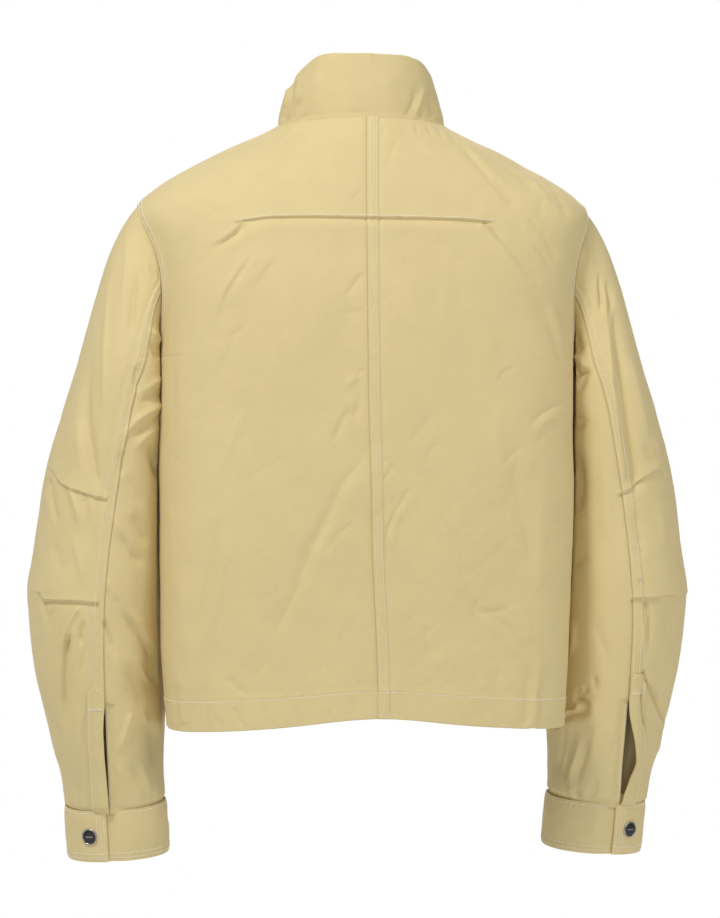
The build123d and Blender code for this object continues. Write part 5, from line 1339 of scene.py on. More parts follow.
_vs = np.concatenate([np.arange(-264.4, -330, -2.4), np.arange(-330.5, -375.5, -1.5), [-376.0], np.arange(-377.5, -392, -1.5),
                      np.arange(-393.5, -462, -2.3), np.arange(-463, -500, -1.5), np.arange(-502, -676, -2.3), [-677.0, -679.5, -682.0]])
QS = np.concatenate([np.linspace(0.0, 1.0, 80), q_of(_vs)])
CUT = int(np.argmin(np.abs(QS - q_of(-376.0))))
TH_BS = {}
for _sd in (1, -1):
    TH_BS[_sd] = np.array([seam_angle(min(q, float(q_of(-677.0))), _sd) for q in QS])
    for _ in range(3):
        TH_BS[_sd][1:-1] = (TH_BS[_sd][:-2] + 2 * TH_BS[_sd][1:-1] + TH_BS[_sd][2:]) / 4
A0 = radians(-108.0)


def sleeve_part(sd, part):
    """displaced grid of the outer (top) or inner (under) sleeve panel, armhole to cuff"""
    TH_B = TH_BS[sd]
    if part == "top":
        edge = np.concatenate([np.arange(13.0, 0.0, -0.85), [0.0]]) / 270.0
        c = np.concatenate([np.linspace(0, 1 - 15.0 / 270, 104), 1 - edge])
        th = A0 + (TH_B[:, None] - A0) * c[None]
    else:
        c = np.concatenate([np.array([0.0, 1.4, 2.6, 4.0, 5.2, 6.6, 8.2]) / 180, np.linspace(10.5 / 180, 1, 74)])
        lap = np.where(QS < q_of(SLIT_V), 3.4 / 72, -1.2 / 60)[:, None]
        a = TH_B[:, None] - lap
        th = a + (A0 + 2 * pi - a) * c[None]
    B = sleeve(QS[:, None], th)
    ctr = np.array([sleeve(np.full(24, q), np.linspace(0, 2 * pi, 24, endpoint=False)).mean(0) for q in QS])[:, None]
    B = sided(B, sd)
    ctr = sided(np.broadcast_to(ctr, B.shape), sd)
    N0 = grid_normals(B, B - ctr)
    uv = sheet(B)
    face = ease((N0 @ BACK_VIEW + 0.02) / 0.28)
    v = np.where(QS < 1, B[:, :, 2].mean(1), SL_V1 - (QS - 1) * 100)[:, None] + 0 * th
    d = np.zeros(th.shape)
    folds3(d, uv, SLEEVE_FOLDS[sd], face * 2.2)
    tm = np.mod(th, 2 * pi)
    around = (np.degrees(tm) - 270) / 180 * pi * 66
    side = 1 - ease((N0 @ BACK_VIEW + 0.35) / 0.35)
    folds3(d, np.stack([around * (1.0 if sd > 0 else 0.93), v * (1.0 if sd > 0 else 1.012)], -1), FRONT_SLEEVE_FOLDS, side)
    d += soft_waves(B, 41 if sd > 0 else 57, big=1.3, mid=0.34, small=0.09) * ease((QS[:, None] - 0.08) / 0.4)
    z = B[..., 2]
    # inner side falls back from the body
    rec = RECESS[sd](z) * ease((tm - radians(104)) / radians(44)) * ease((radians(262) - tm) / radians(50)) * (tm < radians(263))
    # ease gathered into the cuff
    g = noise(np.stack([np.cos(tm) * 56, np.sin(tm) * 48, v * 0.12], -1), (7.5, 7.5, 9), 71 + sd)
    d += 1.15 * g * ease((-v - 630) / 44.0) ** 2 + 0.9 * ease((-v - 640) / 26.0) * ease((v + 678) / 5.0)
    # seams
    cum = arc_along(B)
    dist = (cum[:, -1:] - cum) if part == "top" else cum - 3.2
    far = cum if part == "top" else (cum[:, -1:] - cum)
    in_slit = ease((-v + SLIT_V + 2) / 3.0)
    if part == "top":
        d += 0.7 * ease((10.8 - dist) / 1.6) - 0.34 * (np.exp(-((dist - 1.8) / 0.9) ** 2) + np.exp(-((dist - 8.4) / 0.9) ** 2)) * (1 - in_slit)
        d += 0.2 * np.sin(v * 0.62 + 2.5 * noise(B, 15, 77)) * np.exp(-((dist - 5.2) / 2.4) ** 2) * (1 - in_slit)
        d -= 0.45 * np.exp(-((dist - 12.4) / 1.8) ** 2) * (1 - in_slit)
    else:
        d -= (1.0 * np.exp(-(np.maximum(dist, 0) / 3.2) ** 2) + 0.35 * ease((0.4 - dist) / 1.0)) * (1 - in_slit)
        d -= 2.2 * in_slit * np.exp(-(np.maximum(dist, 0) / 5.0) ** 2)
    d -= 0.7 * np.exp(-(far / 2.2) ** 2)
    # ends: under the armhole seam and inside the cuff's upper edge
    d = d * ease(QS[:, None] / 0.05) - 1.0 * ease((0.03 - QS[:, None]) / 0.03)
    low = ease((-v - 675.0) / 3.0)
    d = d * (1 - low) - 1.9 * low
    rec = rec * ease(QS[:, None] / 0.5) * ease((680.0 + v) / 30.0)
    P = B + N0 * d[..., None] - np.array([0, 1.15, 0]) * rec[..., None]
    first = P[0] - unit(P[1] - P[0]) * 3.0
    P[0] = first - N0[0] * 0.8
    # the slit's edge curls open
    if part == "top":
        T_ = unit(np.gradient(B, axis=1))
        w = ease((34 - dist) / 34.0)
        op = GAPE[sd](v) * w ** 1.2
        P = P - T_ * op[..., None] + N0 * (0.22 * op * w)[..., None]
    return Grid(P, grid_normals(P, N0)), dist, v, th


SLEEVES = {}
for sd, side in ((1, "left"), (-1, "right")):
    for part in ("top", "under"):
        G, dist, v, th = sleeve_part(sd, part)
        SLEEVES[sd, part] = (G, dist, v, th)
        for key, sl, nodes in (("upper", slice(0, CUT + 1), [side + "_sleeve_head", side + "_top_sleeve_upper"] if part == "top" else [side + "_under_sleeve_upper"]),
                               ("lower", slice(CUT, None), [side + "_sleeve_elbow", side + "_top_sleeve_lower"] if part == "top" else [side + "_under_sleeve_lower"])):
            o = shell("%s_%s_sleeve_%s" % (side, part, key), G.P[sl], G.N[sl], 1.1, shell_mat, uv0=(0.7 * sd, 0.3 if part == "top" else 0.9), steps=2)
            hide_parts(*nodes)
            place(o, side + "_" + key)
    # two rows of stitching beside the back seam
    G, dist, v, th = SLEEVES[sd, "top"]
    slit_row = int(np.argmax(v[:, 0] < SLIT_V))
    for d in (1.8, 8.4):
        Pn = [np.array([np.interp(d, dist[i, ::-1], A[i, ::-1, k]) for k in range(3)]) for i in range(3, slit_row) for A in (G.P,)]
        Nn = [np.array([np.interp(d, dist[i, ::-1], A[i, ::-1, k]) for k in range(3)]) for i in range(3, slit_row) for A in (G.N,)]
        Pn, Nn = np.array(Pn), unit(np.array(Nn))
        c = CUT - 3
        stitch(side + "_upper", Pn[:c + 1], Nn[:c + 1])
        stitch(side + "_lower", Pn[c:], Nn[c:])


# ---------------------------------------------------------------- fronts
def by_length(zs, ss):
    p = body(zs, ss)
    return np.concatenate([[0], np.cumsum(np.linalg.norm(np.diff(p, axis=0), axis=1))])


def along(zs, ss, n, skip=False):
    l = by_length(zs, ss)
    k = np.linspace(0, l[-1], n)
    z, s = np.interp(k, l, zs), np.interp(k, l, ss)
    return (z[1:], s[1:]) if skip else (z, s)


def joined(*runs):
    return np.concatenate([r[0] for r in runs]), np.concatenate([r[1] for r in runs])


def front_rows(na, nb, nc, edge_x):
    """(z, s) of both ends of the front's rows: shoulder seam, armhole, side seam; neckline, zip edge"""
    zz = np.linspace(-4.3, ARM_TOP, 90)
    oa = along(zz, edge_s(zz, False), na)
    zz = ARM_ZC + ARM_H * np.cos(np.linspace(0.0, pi, 130))
    ob = along(zz, edge_s(zz, False), nb, True)
    zz = np.linspace(ARM_LOW, HEM_Z, 60)
    oc = along(zz, edge_s(zz, False), nc, True)
    nphi = np.linspace(pi / 2 + 0.02, pi - 0.065, 90)
    nz = np.minimum(neck_ring(nphi)[:, 2], -4.3)
    ia = along(nz, neck_s(nz), na)
    ia[1][-1] = float(s_at_x(ia[0][-1], edge_x))
    zz = np.linspace(ia[0][-1], -255.0, 60)
    ib = along(zz, s_at_x(zz, edge_x), nb, True)
    zz = np.linspace(-255.0, HEM_Z, 60)
    ic = along(zz, s_at_x(zz, edge_x), nc, True)
    return joined(oa, ob, oc), joined(ia, ib, ic)


FRONT_FOLDS = [
    ([(150, -250), (110, -275), (70, -320), (40, -370)], 1.5, dict(kind="s", wa=8.0, wb=7.0, w0=3.0)),
    ([(172, -262), (140, -300), (105, -350), (80, -400)], 1.4, dict(kind="v", wa=6.0, wb=7.0)),
    ([(185, -285), (168, -335), (150, -395), (142, -440)], 1.3, dict(kind="v", wa=6.0, wb=7.0)),
    ([(190, -330), (180, -380), (176, -440), (180, -500)], 1.1, dict(kind="r", wa=7.0, wb=8.0)),
    ([(60, -110), (78, -150), (88, -200), (84, -250)], 1.0, dict(kind="v", wa=7.0, wb=8.0)),
    ([(110, -95), (128, -130), (140, -170)], 0.9, dict(kind="r", wa=8.0, wb=8.0)),
    ([(150, -110), (160, -150), (165, -190), (160, -225)], 1.1, dict(kind="v", wa=5.0, wb=6.0)),
    ([(40, -140), (44, -200), (40, -260)], 0.7, dict(kind="r", wa=8.0, wb=7.0)),
    ([(60, -420), (72, -470), (70, -530), (60, -575)], 1.0, dict(kind="v", wa=7.0, wb=8.0)),
    ([(100, -430), (106, -480), (100, -545)], 0.8, dict(kind="r", wa=8.0, wb=8.0)),
    ([(165, -480), (160, -525), (168, -570)], 1.0, dict(kind="v", wa=5.0, wb=6.0)),
    ([(30, -330), (52, -352), (80, -362)], 0.7, dict(kind="v", wa=4.0, wb=6.0)),
    ([(26, -460), (46, -478), (62, -504)], 0.7, dict(kind="v", wa=4.0, wb=6.0)),
    ([(125, -300), (100, -335), (90, -380)], 0.7, dict(kind="r", wa=6.0, wb=6.0)),
]
for i in range(26):
    z = -100 - i * 19.0
    FRONT_FOLDS.append(([(8, z), (17 + 6 * abs(math.sin(i * 1.9)), z - 3 * math.sin(i * 2.3))], 0.28, dict(kind="v", wa=2.0, wb=2.2, e0=0.1, e1=0.6)))
for i in range(18):
    x = 22 + i * 9.6 + 2 * math.sin(i * 3.1)
    FRONT_FOLDS.append(([(x, -573), (x + 2 * math.sin(i), -598)], 0.24, dict(kind="v", wa=1.8, wb=1.8, e0=0.1, e1=0.3)))
    FRONT_FOLDS.append(([(x + 4, -571), (x + 4 + 2 * math.sin(i), -556 + 5 * math.sin(i * 1.7))], 0.22, dict(kind="v", wa=1.8, wb=1.8, e0=0.1, e1=0.6)))

EDGE_X = 6.4
(oz, os_), (iz, is_) = front_rows(36, 66, 150, EDGE_X)
NC = 96
cc = np.concatenate([np.linspace(0, 0.035, 5)[:-1], np.linspace(0.035, 0.90, 72), np.linspace(0.90, 1.0, 20)[1:]])
FRONTS = {}
for sd, side in ((1, "left"), (-1, "right")):
    zg = oz[:, None] + (iz - oz)[:, None] * cc[None]
    sg = os_[:, None] + (is_ - os_)[:, None] * cc[None]
    B = sided(body(zg, sg), sd)
    N0 = grid_normals(B, B - axis_of(B))
    x, z = B[..., 0] * sd, B[..., 2]
    d = np.zeros(x.shape)
    fx = x * (1.0 if sd > 0 else 1.05) + (0 if sd > 0 else 3)
    fz = z * (1.0 if sd > 0 else 1.03) + (0 if sd > 0 else 9)
    folds(d, np.stack([fx, fz], -1), FRONT_FOLDS[:14])
    folds(d, np.stack([x, z], -1), FRONT_FOLDS[14:])
    d += soft_waves(B, 91 + sd, big=1.2, mid=0.3, small=0.08)
    gap = ring_gap(B, sd)
    cum = arc_along(B)
    from_edge, from_zip = cum, cum[:, -1:] - cum
    quiet = np.minimum(ease(from_edge / 16.0), ease(gap / 15.0)) * ease(from_zip / 14.0) * (0.25 + 0.75 * ease((-2.0 - z) / 12.0))
    d *= quiet
    d += 0.66 * ease((-z - 250) / 60.0) * np.exp(-(from_edge / 9.0) ** 2)
    band = lambda q, w: ease((w - q) / 1.6)
    arm = 0.8 * band(gap, 11.5) - 0.3 * np.exp(-((gap - 2.6) / 1.0) ** 2) - 0.3 * np.exp(-((gap - 9.6) / 1.0) ** 2)
    d += arm * ease((gap + 1.0) / 2.0)
    below = ease((-86.0 - z) / 10.0)
    d += below * (0.5 * band(from_zip, 30.0) - 0.35 * np.exp(-((from_zip - 2.2) / 1.0) ** 2) - 0.35 * np.exp(-((from_zip - 8.8) / 1.1) ** 2))
    up = z - HEM_Z
    d += 0.35 * band(up, HEM_H + 3.0) - 0.38 * np.exp(-((up - HEM_H) / 1.3) ** 2)
    P = B + N0 * d[..., None]
    G = Grid(P, grid_normals(P, N0))
    FRONTS[sd] = G
    t = np.full(x.shape, 1.15) + 1.2 * ease((HEM_Z + HEM_H + 1 - z) / 2.0)
    o = shell("front_" + side, G.P, G.N, t, shell_mat, uv0=(1.4 * sd, 0.4), steps=3)
    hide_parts("front_%s_panel" % side)
    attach(o, "torso")
    lo = int(np.argmax(iz < -88))
    for dd in (2.2, 8.8):
        Pn = np.array([[np.interp(dd, from_zip[i, ::-1], G.P[i, ::-1, k]) for k in range(3)] for i in range(lo, len(oz) - 1)])
        Nn = np.array([[np.interp(dd, from_zip[i, ::-1], G.N[i, ::-1, k]) for k in range(3)] for i in range(lo, len(oz) - 1)])
        stitch("torso", Pn, Nn)
    hr = int(np.argmin(np.abs(oz - (HEM_Z + HEM_H))))
    stitch("torso", G.P[hr, :-4], G.N[hr, :-4])
    for dd in (2.6, 9.6):
        ring_rows(G, sd, 190, 354, dd)

# ---------------------------------------------------------------- pockets
WELT_TOP, WELT_LOW, WELT_W = (112.0, -402.0), (140.0, -542.0), 24.0


def front_pts(z, x, sd):
    z, x = np.broadcast_arrays(np.asarray(z, float), np.asarray(x, float))
    return sided(body(z.ravel(), s_at_x(z.ravel(), x.ravel())), sd)


for sd, side in ((1, "left"), (-1, "right")):
    G = FRONTS[sd]
    u, w = np.meshgrid(np.linspace(0, 1, 62), np.linspace(0, WELT_W, 14), indexing="ij")
    x = WELT_TOP[0] + (WELT_LOW[0] - WELT_TOP[0]) * u - w
    z = WELT_TOP[1] + (WELT_LOW[1] - WELT_TOP[1]) * u + 0.2 * w
    P, N = G.drop(front_pts(z, x, sd))
    P, N = P.reshape(u.shape + (3,)), N.reshape(u.shape + (3,))
    e = np.minimum(np.minimum(w, WELT_W - w), np.minimum(u, 1 - u) * 142)
    lift = 1.75 + 0.5 * ease(e / 4.0) - 0.35 * np.exp(-((e - 2.2) / 0.9) ** 2) + 0.15 * noise(P, 14, 5) * ease(e / 4.0)
    lift = lift + 0.8 * ease((5 - (WELT_W - w)) / 5.0) * ease(e / 1.0)
    P = P + N * lift[..., None]
    N = grid_normals(P, N)
    o = shell("pocket_welt_" + side, P, N, 1.5, trim_mat, uv0=(2.2 * sd, 0.1), steps=3)
    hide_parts("pocket_welt_" + side)
    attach(o, "torso")
    for j in (1, 12):
        stitch("torso", P[2:-2, j], N[2:-2, j], pitch=2.6, length=1.8)
    for i in (1, 2, 59, 60):
        stitch("torso", P[i, 1:-1], N[i, 1:-1], pitch=1.6, length=1.3, start=0.4)
    zz = np.linspace(-398, -562, 34)
    xo = WELT_TOP[0] + (WELT_LOW[0] - WELT_TOP[0]) * np.clip((zz + 402) / -140.0, 0, 1)
    f = np.linspace(0, 1, 20)
    X = (xo[:, None] - 6) + (52 - (xo[:, None] - 6)) * f[None]
    P, N = G.drop(front_pts(zz[:, None] + 0 * X, X, sd))
    P, N = P.reshape(X.shape + (3,)), N.reshape(X.shape + (3,))
    P = P - N * (1.75 + 0.25 * noise(P, 20, 9))[..., None]
    o = shell("pocket_bag_" + side, P, grid_normals(P, N), 0.7, lining_mat, uv0=(2.6, 0.6 * sd))
    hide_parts("pocket_bag_" + side)
    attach(o, "torso")

# ---------------------------------------------------------------- facings and lining
zr = np.linspace(-90, -571, 110)
for sd, side in ((1, "left"), (-1, "right")):
    a, b = s_at_x(zr, 47.0), s_at_x(zr, 8.0)
    P = sided(np.array([body(z, np.linspace(p, q, 16)) for z, p, q in zip(zr, a, b)]), sd)
    N = grid_normals(P, P - axis_of(P))
    P = P - N * (2.0 + 0.3 * (noise(P, 30, 15) + 1) + 1.9 * ease((P[..., 0] * sd - 34) / 12.0))[..., None]
    o = shell("front_facing_" + side, P, grid_normals(P, N), 0.9, trim_mat, uv0=(3.1, 0.7 * sd))
    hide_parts("front_facing_" + side)
    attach(o, "torso")
(oz2, os2), (iz2, is2) = front_rows(16, 28, 62, 42.0)
for sd, side in ((1, "left"), (-1, "right")):
    k = oz2 > -570
    zg = oz2[k, None] + (iz2 - oz2)[k, None] * np.linspace(0.012, 1, 44)[None]
    sg = os2[k, None] + (is2 - os2)[k, None] * np.linspace(0.012, 1, 44)[None]
    P = sided(body(zg, sg), sd)
    N = grid_normals(P, P - axis_of(P))
    w = 0.5 * noise(turned(P, 1, 20), (26, 30, 60), 121) + 0.25 * noise(P, 12, 122)
    P = P - N * (4.1 + w)[..., None]
    o = shell("lining_front_" + side, P, grid_normals(P, N), 0.6, lining_mat, uv0=(3.6, 1.1 * sd))
    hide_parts("lining_front_" + side)
    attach(o, "torso")
zl = np.concatenate([np.arange(-3, -40, -3.0), np.arange(-40, -568, -5.0), [-570]])
el = edge_s(np.minimum(zl, -4.1), True) * len_at(zl)
P = np.array([body_l(z, np.linspace(-(e - 1.5), e - 1.5, 110)) for z, e in zip(zl, el)])
N = grid_normals(P, P - axis_of(P))
w = 0.5 * noise(turned(P, 1, 20), (26, 30, 70), 131) + 0.25 * noise(P, 12, 132)
P = P - N * (4.0 + w * ease((-zl[:, None] - 3) / 20.0))[..., None]
o = shell("lining_back", P, grid_normals(P, N), 0.6, lining_mat, uv0=(4.4, 0.0))
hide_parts("lining_back")
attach(o, "torso")
zh = np.linspace(HEM_Z + HEM_H + 1.0, HEM_Z + 1.4, 12)
sh = np.concatenate([-np.linspace(0.957, 0.0, 150)[:-1], np.linspace(0.0, 0.957, 150)])
P = body(zh[:, None], np.abs(sh)[None])
P[..., 0] *= np.where(sh < 0, -1, 1)[None]
N = grid_normals(P, P - axis_of(P))
P = P - N * (2.75 + 0.25 * noise(P, 11, 141) + 0.4 * ease((zh[:, None] - (HEM_Z + HEM_H - 4)) / 4.0))[..., None]
Nf = grid_normals(P, N)
o = shell("hem_facing", P, Nf, 0.9, trim_mat, uv0=(5.2, 0.0))
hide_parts("hem_facing")
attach(o, "torso")
stitch("torso", P[1] - Nf[1] * 0.9, -Nf[1])

# ---------------------------------------------------------------- collar
COLLAR_FOLDS = [
    ([(296, 66), (292, 80), (290, 96), (285, 110), (281, 124)], 1.5, dict(kind="v", wa=2.6, wb=3.0, e0=0.2, e1=0.15)),
    ([(303, 96), (296, 106), (290, 115), (284, 124)], 1.0, dict(kind="v", wa=2.2, wb=3.0, e0=0.3, e1=0.1)),
    ([(300, 72), (297, 88), (295, 104)], 0.7, dict(kind="r", wa=2.8, wb=3.4)),
    ([(288, 84), (286, 98), (283, 110)], 0.8, dict(kind="r", wa=1.8, wb=2.0)),
    ([(309, 110), (304, 117), (297, 124)], 0.5, dict(kind="v", wa=2.0, wb=2.6, e1=0.1)),
    ([(318, 70), (314, 92), (312, 112)], 0.5, dict(kind="r", wa=6.0, wb=6.0)),
    ([(333, 66), (331, 90), (330, 116)], 0.35, dict(kind="v", wa=6.0, wb=7.0)),
    ([(415, 84), (414, 99), (408, 113), (404, 122)], 0.75, dict(kind="v", wa=3.0, wb=4.5)),
    ([(426, 82), (422, 96), (417, 110), (414, 121)], 0.8, dict(kind="r", wa=2.6, wb=3.0)),
    ([(432, 92), (431, 104), (433, 118)], 0.9, dict(kind="v", wa=2.4, wb=2.6, e1=0.1)),
    ([(423, 110), (421, 116), (420, 123)], 0.5, dict(kind="v", wa=1.6, wb=1.8, e1=0.05)),
    ([(437, 104), (440, 114), (443, 124)], 0.6, dict(kind="r", wa=2.0, wb=2.0)),
    ([(385, 64), (388, 90), (386, 116)], 0.35, dict(kind="r", wa=9.0, wb=9.0)),
    ([(352, 108), (362, 116), (372, 121)], 0.3, dict(kind="v", wa=3.0, wb=3.0)),
]
ph = np.linspace(-(pi - 0.062), pi - 0.062, 300)
hh = np.concatenate([[-0.02], np.linspace(0.0, 0.93, 32), [0.955, 0.975, 0.99, 1.0]])
B = collar(ph[None], np.clip(hh, 0, 1)[:, None])
down = collar(ph, np.zeros(300)) - collar(ph, np.full(300, 0.03))
B[0] = B[1] + unit(down) * 1.6
N0 = grid_normals(B, B - axis_of(B, 0.0))
d = np.zeros(B.shape[:2])
folds3(d, sheet(B), COLLAR_FOLDS, 2.0 * ease((N0 @ BACK_VIEW + 0.05) / 0.2))
d += (0.55 * noise(turned(B, 2, 15), (30, 30, 24), 151) + 0.16 * noise(B, (13, 13, 20), 152) + 0.05 * noise(B, 6, 153)) * ease(hh[:, None] / 0.15)
front = ease((np.abs(ph)[None] - 2.5) / 0.5)
d *= 1 - 0.8 * ease((np.abs(ph)[None] - (pi - 0.25)) / 0.15)
d += 0.9 * np.exp(-((hh[:, None] * 62 - 0) / 2.4) ** 2) * 0.7
d -= 0.25 * np.exp(-((hh[:, None] * 62 - 4.2) / 1.2) ** 2)
top = (hh[:, None] ** 3) * (B[..., 1] > 0)
B[..., 2] -= top * (3.2 * np.exp(-((B[..., 0] + 6) / 42.0) ** 4) - 0.9 * noise(B, 16, 155) - 1.6 * np.exp(-((B[..., 0] - 52) / 10.0) ** 2))
P = B + N0 * d[..., None]
N = grid_normals(P, N0)
o = shell("collar", P, N, 3.0, shell_mat, uv0=(6.0, 0.3), steps=5)
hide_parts("collar_outer", "collar_inner")
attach(o, "torso")
# seam tape inside the neck, under the collar's lower edge
us = np.linspace(-1, 1, 60)
ws = np.linspace(0, 8.0, 10)
P = np.array([[(30 * u, 57.6 - 9.5 * (1 - u * u) ** 0.8, -6.0 - w - 5.0 * (1 - u * u)) for u in us] for w in ws])
N = grid_normals(P, np.array([0, -1.0, 0]) + 0 * P)
P = P + N * (0.12 * np.cos(ws / 8 * 2 * pi))[:, None, None]
o = shell("hanger_loop", P, N, 1.2, trim_mat, uv0=(7.0, 0.0), steps=3)
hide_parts("hanger_loop")
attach(o, "torso")
for j in (1, 8):
    stitch("torso", P[j, 2:-2], N[j, 2:-2], pitch=2.4, length=1.7)
for i in (2, 4, 55, 57):
    stitch("torso", P[:, i], N[:, i], pitch=1.5, length=1.2, start=0.3)


# ---------------------------------------------------------------- plackets and sleeve lining
for sd, side in ((1, "left"), (-1, "right")):
    G, dist, v, th = SLEEVES[sd, "top"]
    dk = np.linspace(0.0, 16.5, 24)
    cut = v[:, 0] < -545
    idx = np.nonzero(cut)[0]
    col = np.array([[[np.interp(q, dist[i, ::-1], A[i, ::-1, k]) for k in range(3)] for q in dk] for i in idx for A in (G.P,)])
    coln = np.array([[[np.interp(q, dist[i, ::-1], G.N[i, ::-1, k]) for k in range(3)] for q in dk] for i in idx])
    z_top = (-556.0 if sd > 0 else -545.0) - 9.5 * np.abs(dk / 16.5 - 0.5) * 2
    R = 62
    P, N = np.zeros((R, 24, 3)), np.zeros((R, 24, 3))
    for j in range(24):
        zc = col[:, j, 2]
        want = np.linspace(z_top[j], zc[-1] + 2.5, R)
        for k in range(3):
            P[:, j, k] = np.interp(-want, -zc, col[:, j, k])
            N[:, j, k] = np.interp(-want, -zc, coln[:, j, k])
    N = unit(N)
    row_d = np.linalg.norm(P - P[:1], axis=-1)
    e = np.minimum(np.minimum(dk[None], 16.5 - dk[None]) + 0 * row_d, row_d)
    lift = 1.25 + 0.25 * ease(e / 3.0) - 0.3 * np.exp(-((16.5 - dk[None] - 1.6) / 0.8) ** 2) + 0.1 * noise(P, 10, 161)
    P = P + N * lift[..., None]
    N = grid_normals(P, N)
    o = shell(side + "_placket", P, N, 1.2, shell_mat, uv0=(7.4, 0.3 * sd), steps=3)
    place(o, side + "_lower")
    grp = side + "_lower"
    j1 = int(np.argmin(np.abs(dk - 15.0)))
    stitch(grp, P[3:, j1], N[3:, j1], pitch=2.5, length=1.8)
    stitch(grp, P[2, 2:-2], N[2, 2:-2], pitch=2.2, length=1.6)
    for o_ in (-0.35, 0.35):
        zb = (-582.5 if sd > 0 else -571.0) + o_
        bar = np.array([[np.interp(-zb, -P[:, j, 2], P[:, j, k]) for k in range(3)] for j in range(2, j1 + 1)])
        nb = unit(np.array([[np.interp(-zb, -P[:, j, 2], N[:, j, k]) for k in range(3)] for j in range(2, j1 + 1)]))
        stitch(grp, bar, nb, pitch=1.7, length=1.4, start=0.1 + (0.8 if o_ > 0 else 0))
    # under edge of the slit: its own narrow strip behind the under panel, with a stitch row
    G, dist, v, th = SLEEVES[sd, "under"]
    idx = np.nonzero((v[:, 0] < -570) & (v[:, 0] > -677.5))[0]
    dk = np.linspace(0.2, 13.0, 12)
    base = dist - dist[:, :1]
    P = np.array([[[np.interp(q, base[i], G.P[i, :, k]) for k in range(3)] for q in dk] for i in idx])
    N = unit(np.array([[[np.interp(q, base[i], G.N[i, :, k]) for k in range(3)] for q in dk] for i in idx]))
    o = shell(side + "_placket_underlay", P - N * 1.45, N, 0.9, trim_mat, uv0=(7.9, 0.3 * sd))
    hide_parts(side + "_placket_underlay")
    place(o, side + "_lower")
    stitch(grp, P[2:, 1], N[2:, 1], pitch=2.5, length=1.8)
    # lining tubes
    for key, q0, q1, extra in (("upper", 0.06, float(q_of(-376.0)), 0.0), ("lower", float(q_of(-376.0)), float(q_of(-671.0)), 0.0)):
        q = np.linspace(q0, q1, 46 if key == "upper" else 74)
        t = np.linspace(0, 2 * pi, 110, endpoint=False)
        B = sleeve(q[:, None], t[None])
        c = np.array([sleeve(np.full(24, k), np.linspace(0, 2 * pi, 24, endpoint=False)).mean(0) for k in q])[:, None]
        B, c = sided(B, sd), sided(np.broadcast_to(c, B.shape), sd)
        N0 = unit(np.cross(np.roll(B, -1, 1) - np.roll(B, 1, 1), np.gradient(B, axis=0)))
        N0 = N0 * (1.0 if np.sum(N0 * (B - c)) > 0 else -1.0)
        zz = B[..., 2]
        inset = 8.6 + 0.7 * noise(B, (16, 16, 40), 171)
        back = 1.15 * RECESS[sd](zz) * ease((t[None] - radians(100)) / radians(44)) * ease((radians(266) - t[None]) / radians(50))
        back = back * ease(q[:, None] / 0.5) * ease((680.0 + zz) / 30.0)
        deep = np.exp(-((t[None] - 1.55) / 0.42) ** 2) * ease((-zz - 545) / 30.0)
        inset = inset + 15.0 * deep + (3.0 if sd < 0 else 0) * ease((t[None] - 1.0) / 0.3) * ease((2.2 - t[None]) / 0.3)
        inset = inset * (0.35 + 0.65 * ease((q[:, None] - 0.03) / 0.25)) + 1.5
        P = B - N0 * inset[..., None] - np.array([0, 1.0, 0]) * back[..., None]
        Nn = unit(np.cross(np.roll(P, -1, 1) - np.roll(P, 1, 1), np.gradient(P, axis=0)))
        Nn = Nn * (1.0 if np.sum(Nn * N0) > 0 else -1.0)
        o = shell("%s_sleeve_lining_%s" % (side, key), P, Nn, 0.6, lining_mat, wrap=True, uv0=(8.5, 0.4 * sd))
        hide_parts("%s_sleeve_lining_%s" % (side, key))
        place(o, side + "_" + key)

# ---------------------------------------------------------------- cuffs
CUFF_T, TAB_T, TAB_OUT, SNAP_D = 1.9, 1.9, 1.3, 16.5
CU_W, CU_D = 50.6, 42.2


def cuff_frame():
    def c(v):
        return np.array([float(SL_OUT(v) + SL_IN(v)) / 2, float(SL_CY(v)), v])
    a, b = c(CUFF_TOP_V), c(CUFF_END_V)
    ax = (b - a) / np.linalg.norm(b - a)
    ex = np.array([1.0, 0, 0]) - ax * ax[0]
    ex = ex / np.linalg.norm(ex)
    ey = np.cross(ax, ex)
    if ey[1] < 0:
        ey = -ey
    return a, b, ex, ey


CA, CB, CEX, CEY = cuff_frame()
CUFF_LEN = float(np.linalg.norm(CB - CA))


def cuff_pt(t, th, out=0.0):
    t, th = np.broadcast_arrays(np.asarray(t, float), np.asarray(th, float))
    r = 0.6 * np.sin(pi * t)
    c, s = np.cos(th), np.sin(th)
    lx = (CU_W + r) * np.sign(c) * np.abs(c) ** (2 / 2.2)
    ly = (CU_D + r) * np.sign(s) * np.abs(s) ** (2 / 2.2)
    nx, ny = lx / CU_W ** 2, ly / CU_D ** 2
    nn = np.hypot(nx, ny)
    lx, ly = lx + nx / nn * out, ly + ny / nn * out
    return CA + t[..., None] * (CB - CA) + lx[..., None] * CEX + ly[..., None] * CEY


HINGE_TH, TAB_TH, UNDERLAP_TH = radians(18), radians(76), radians(30)


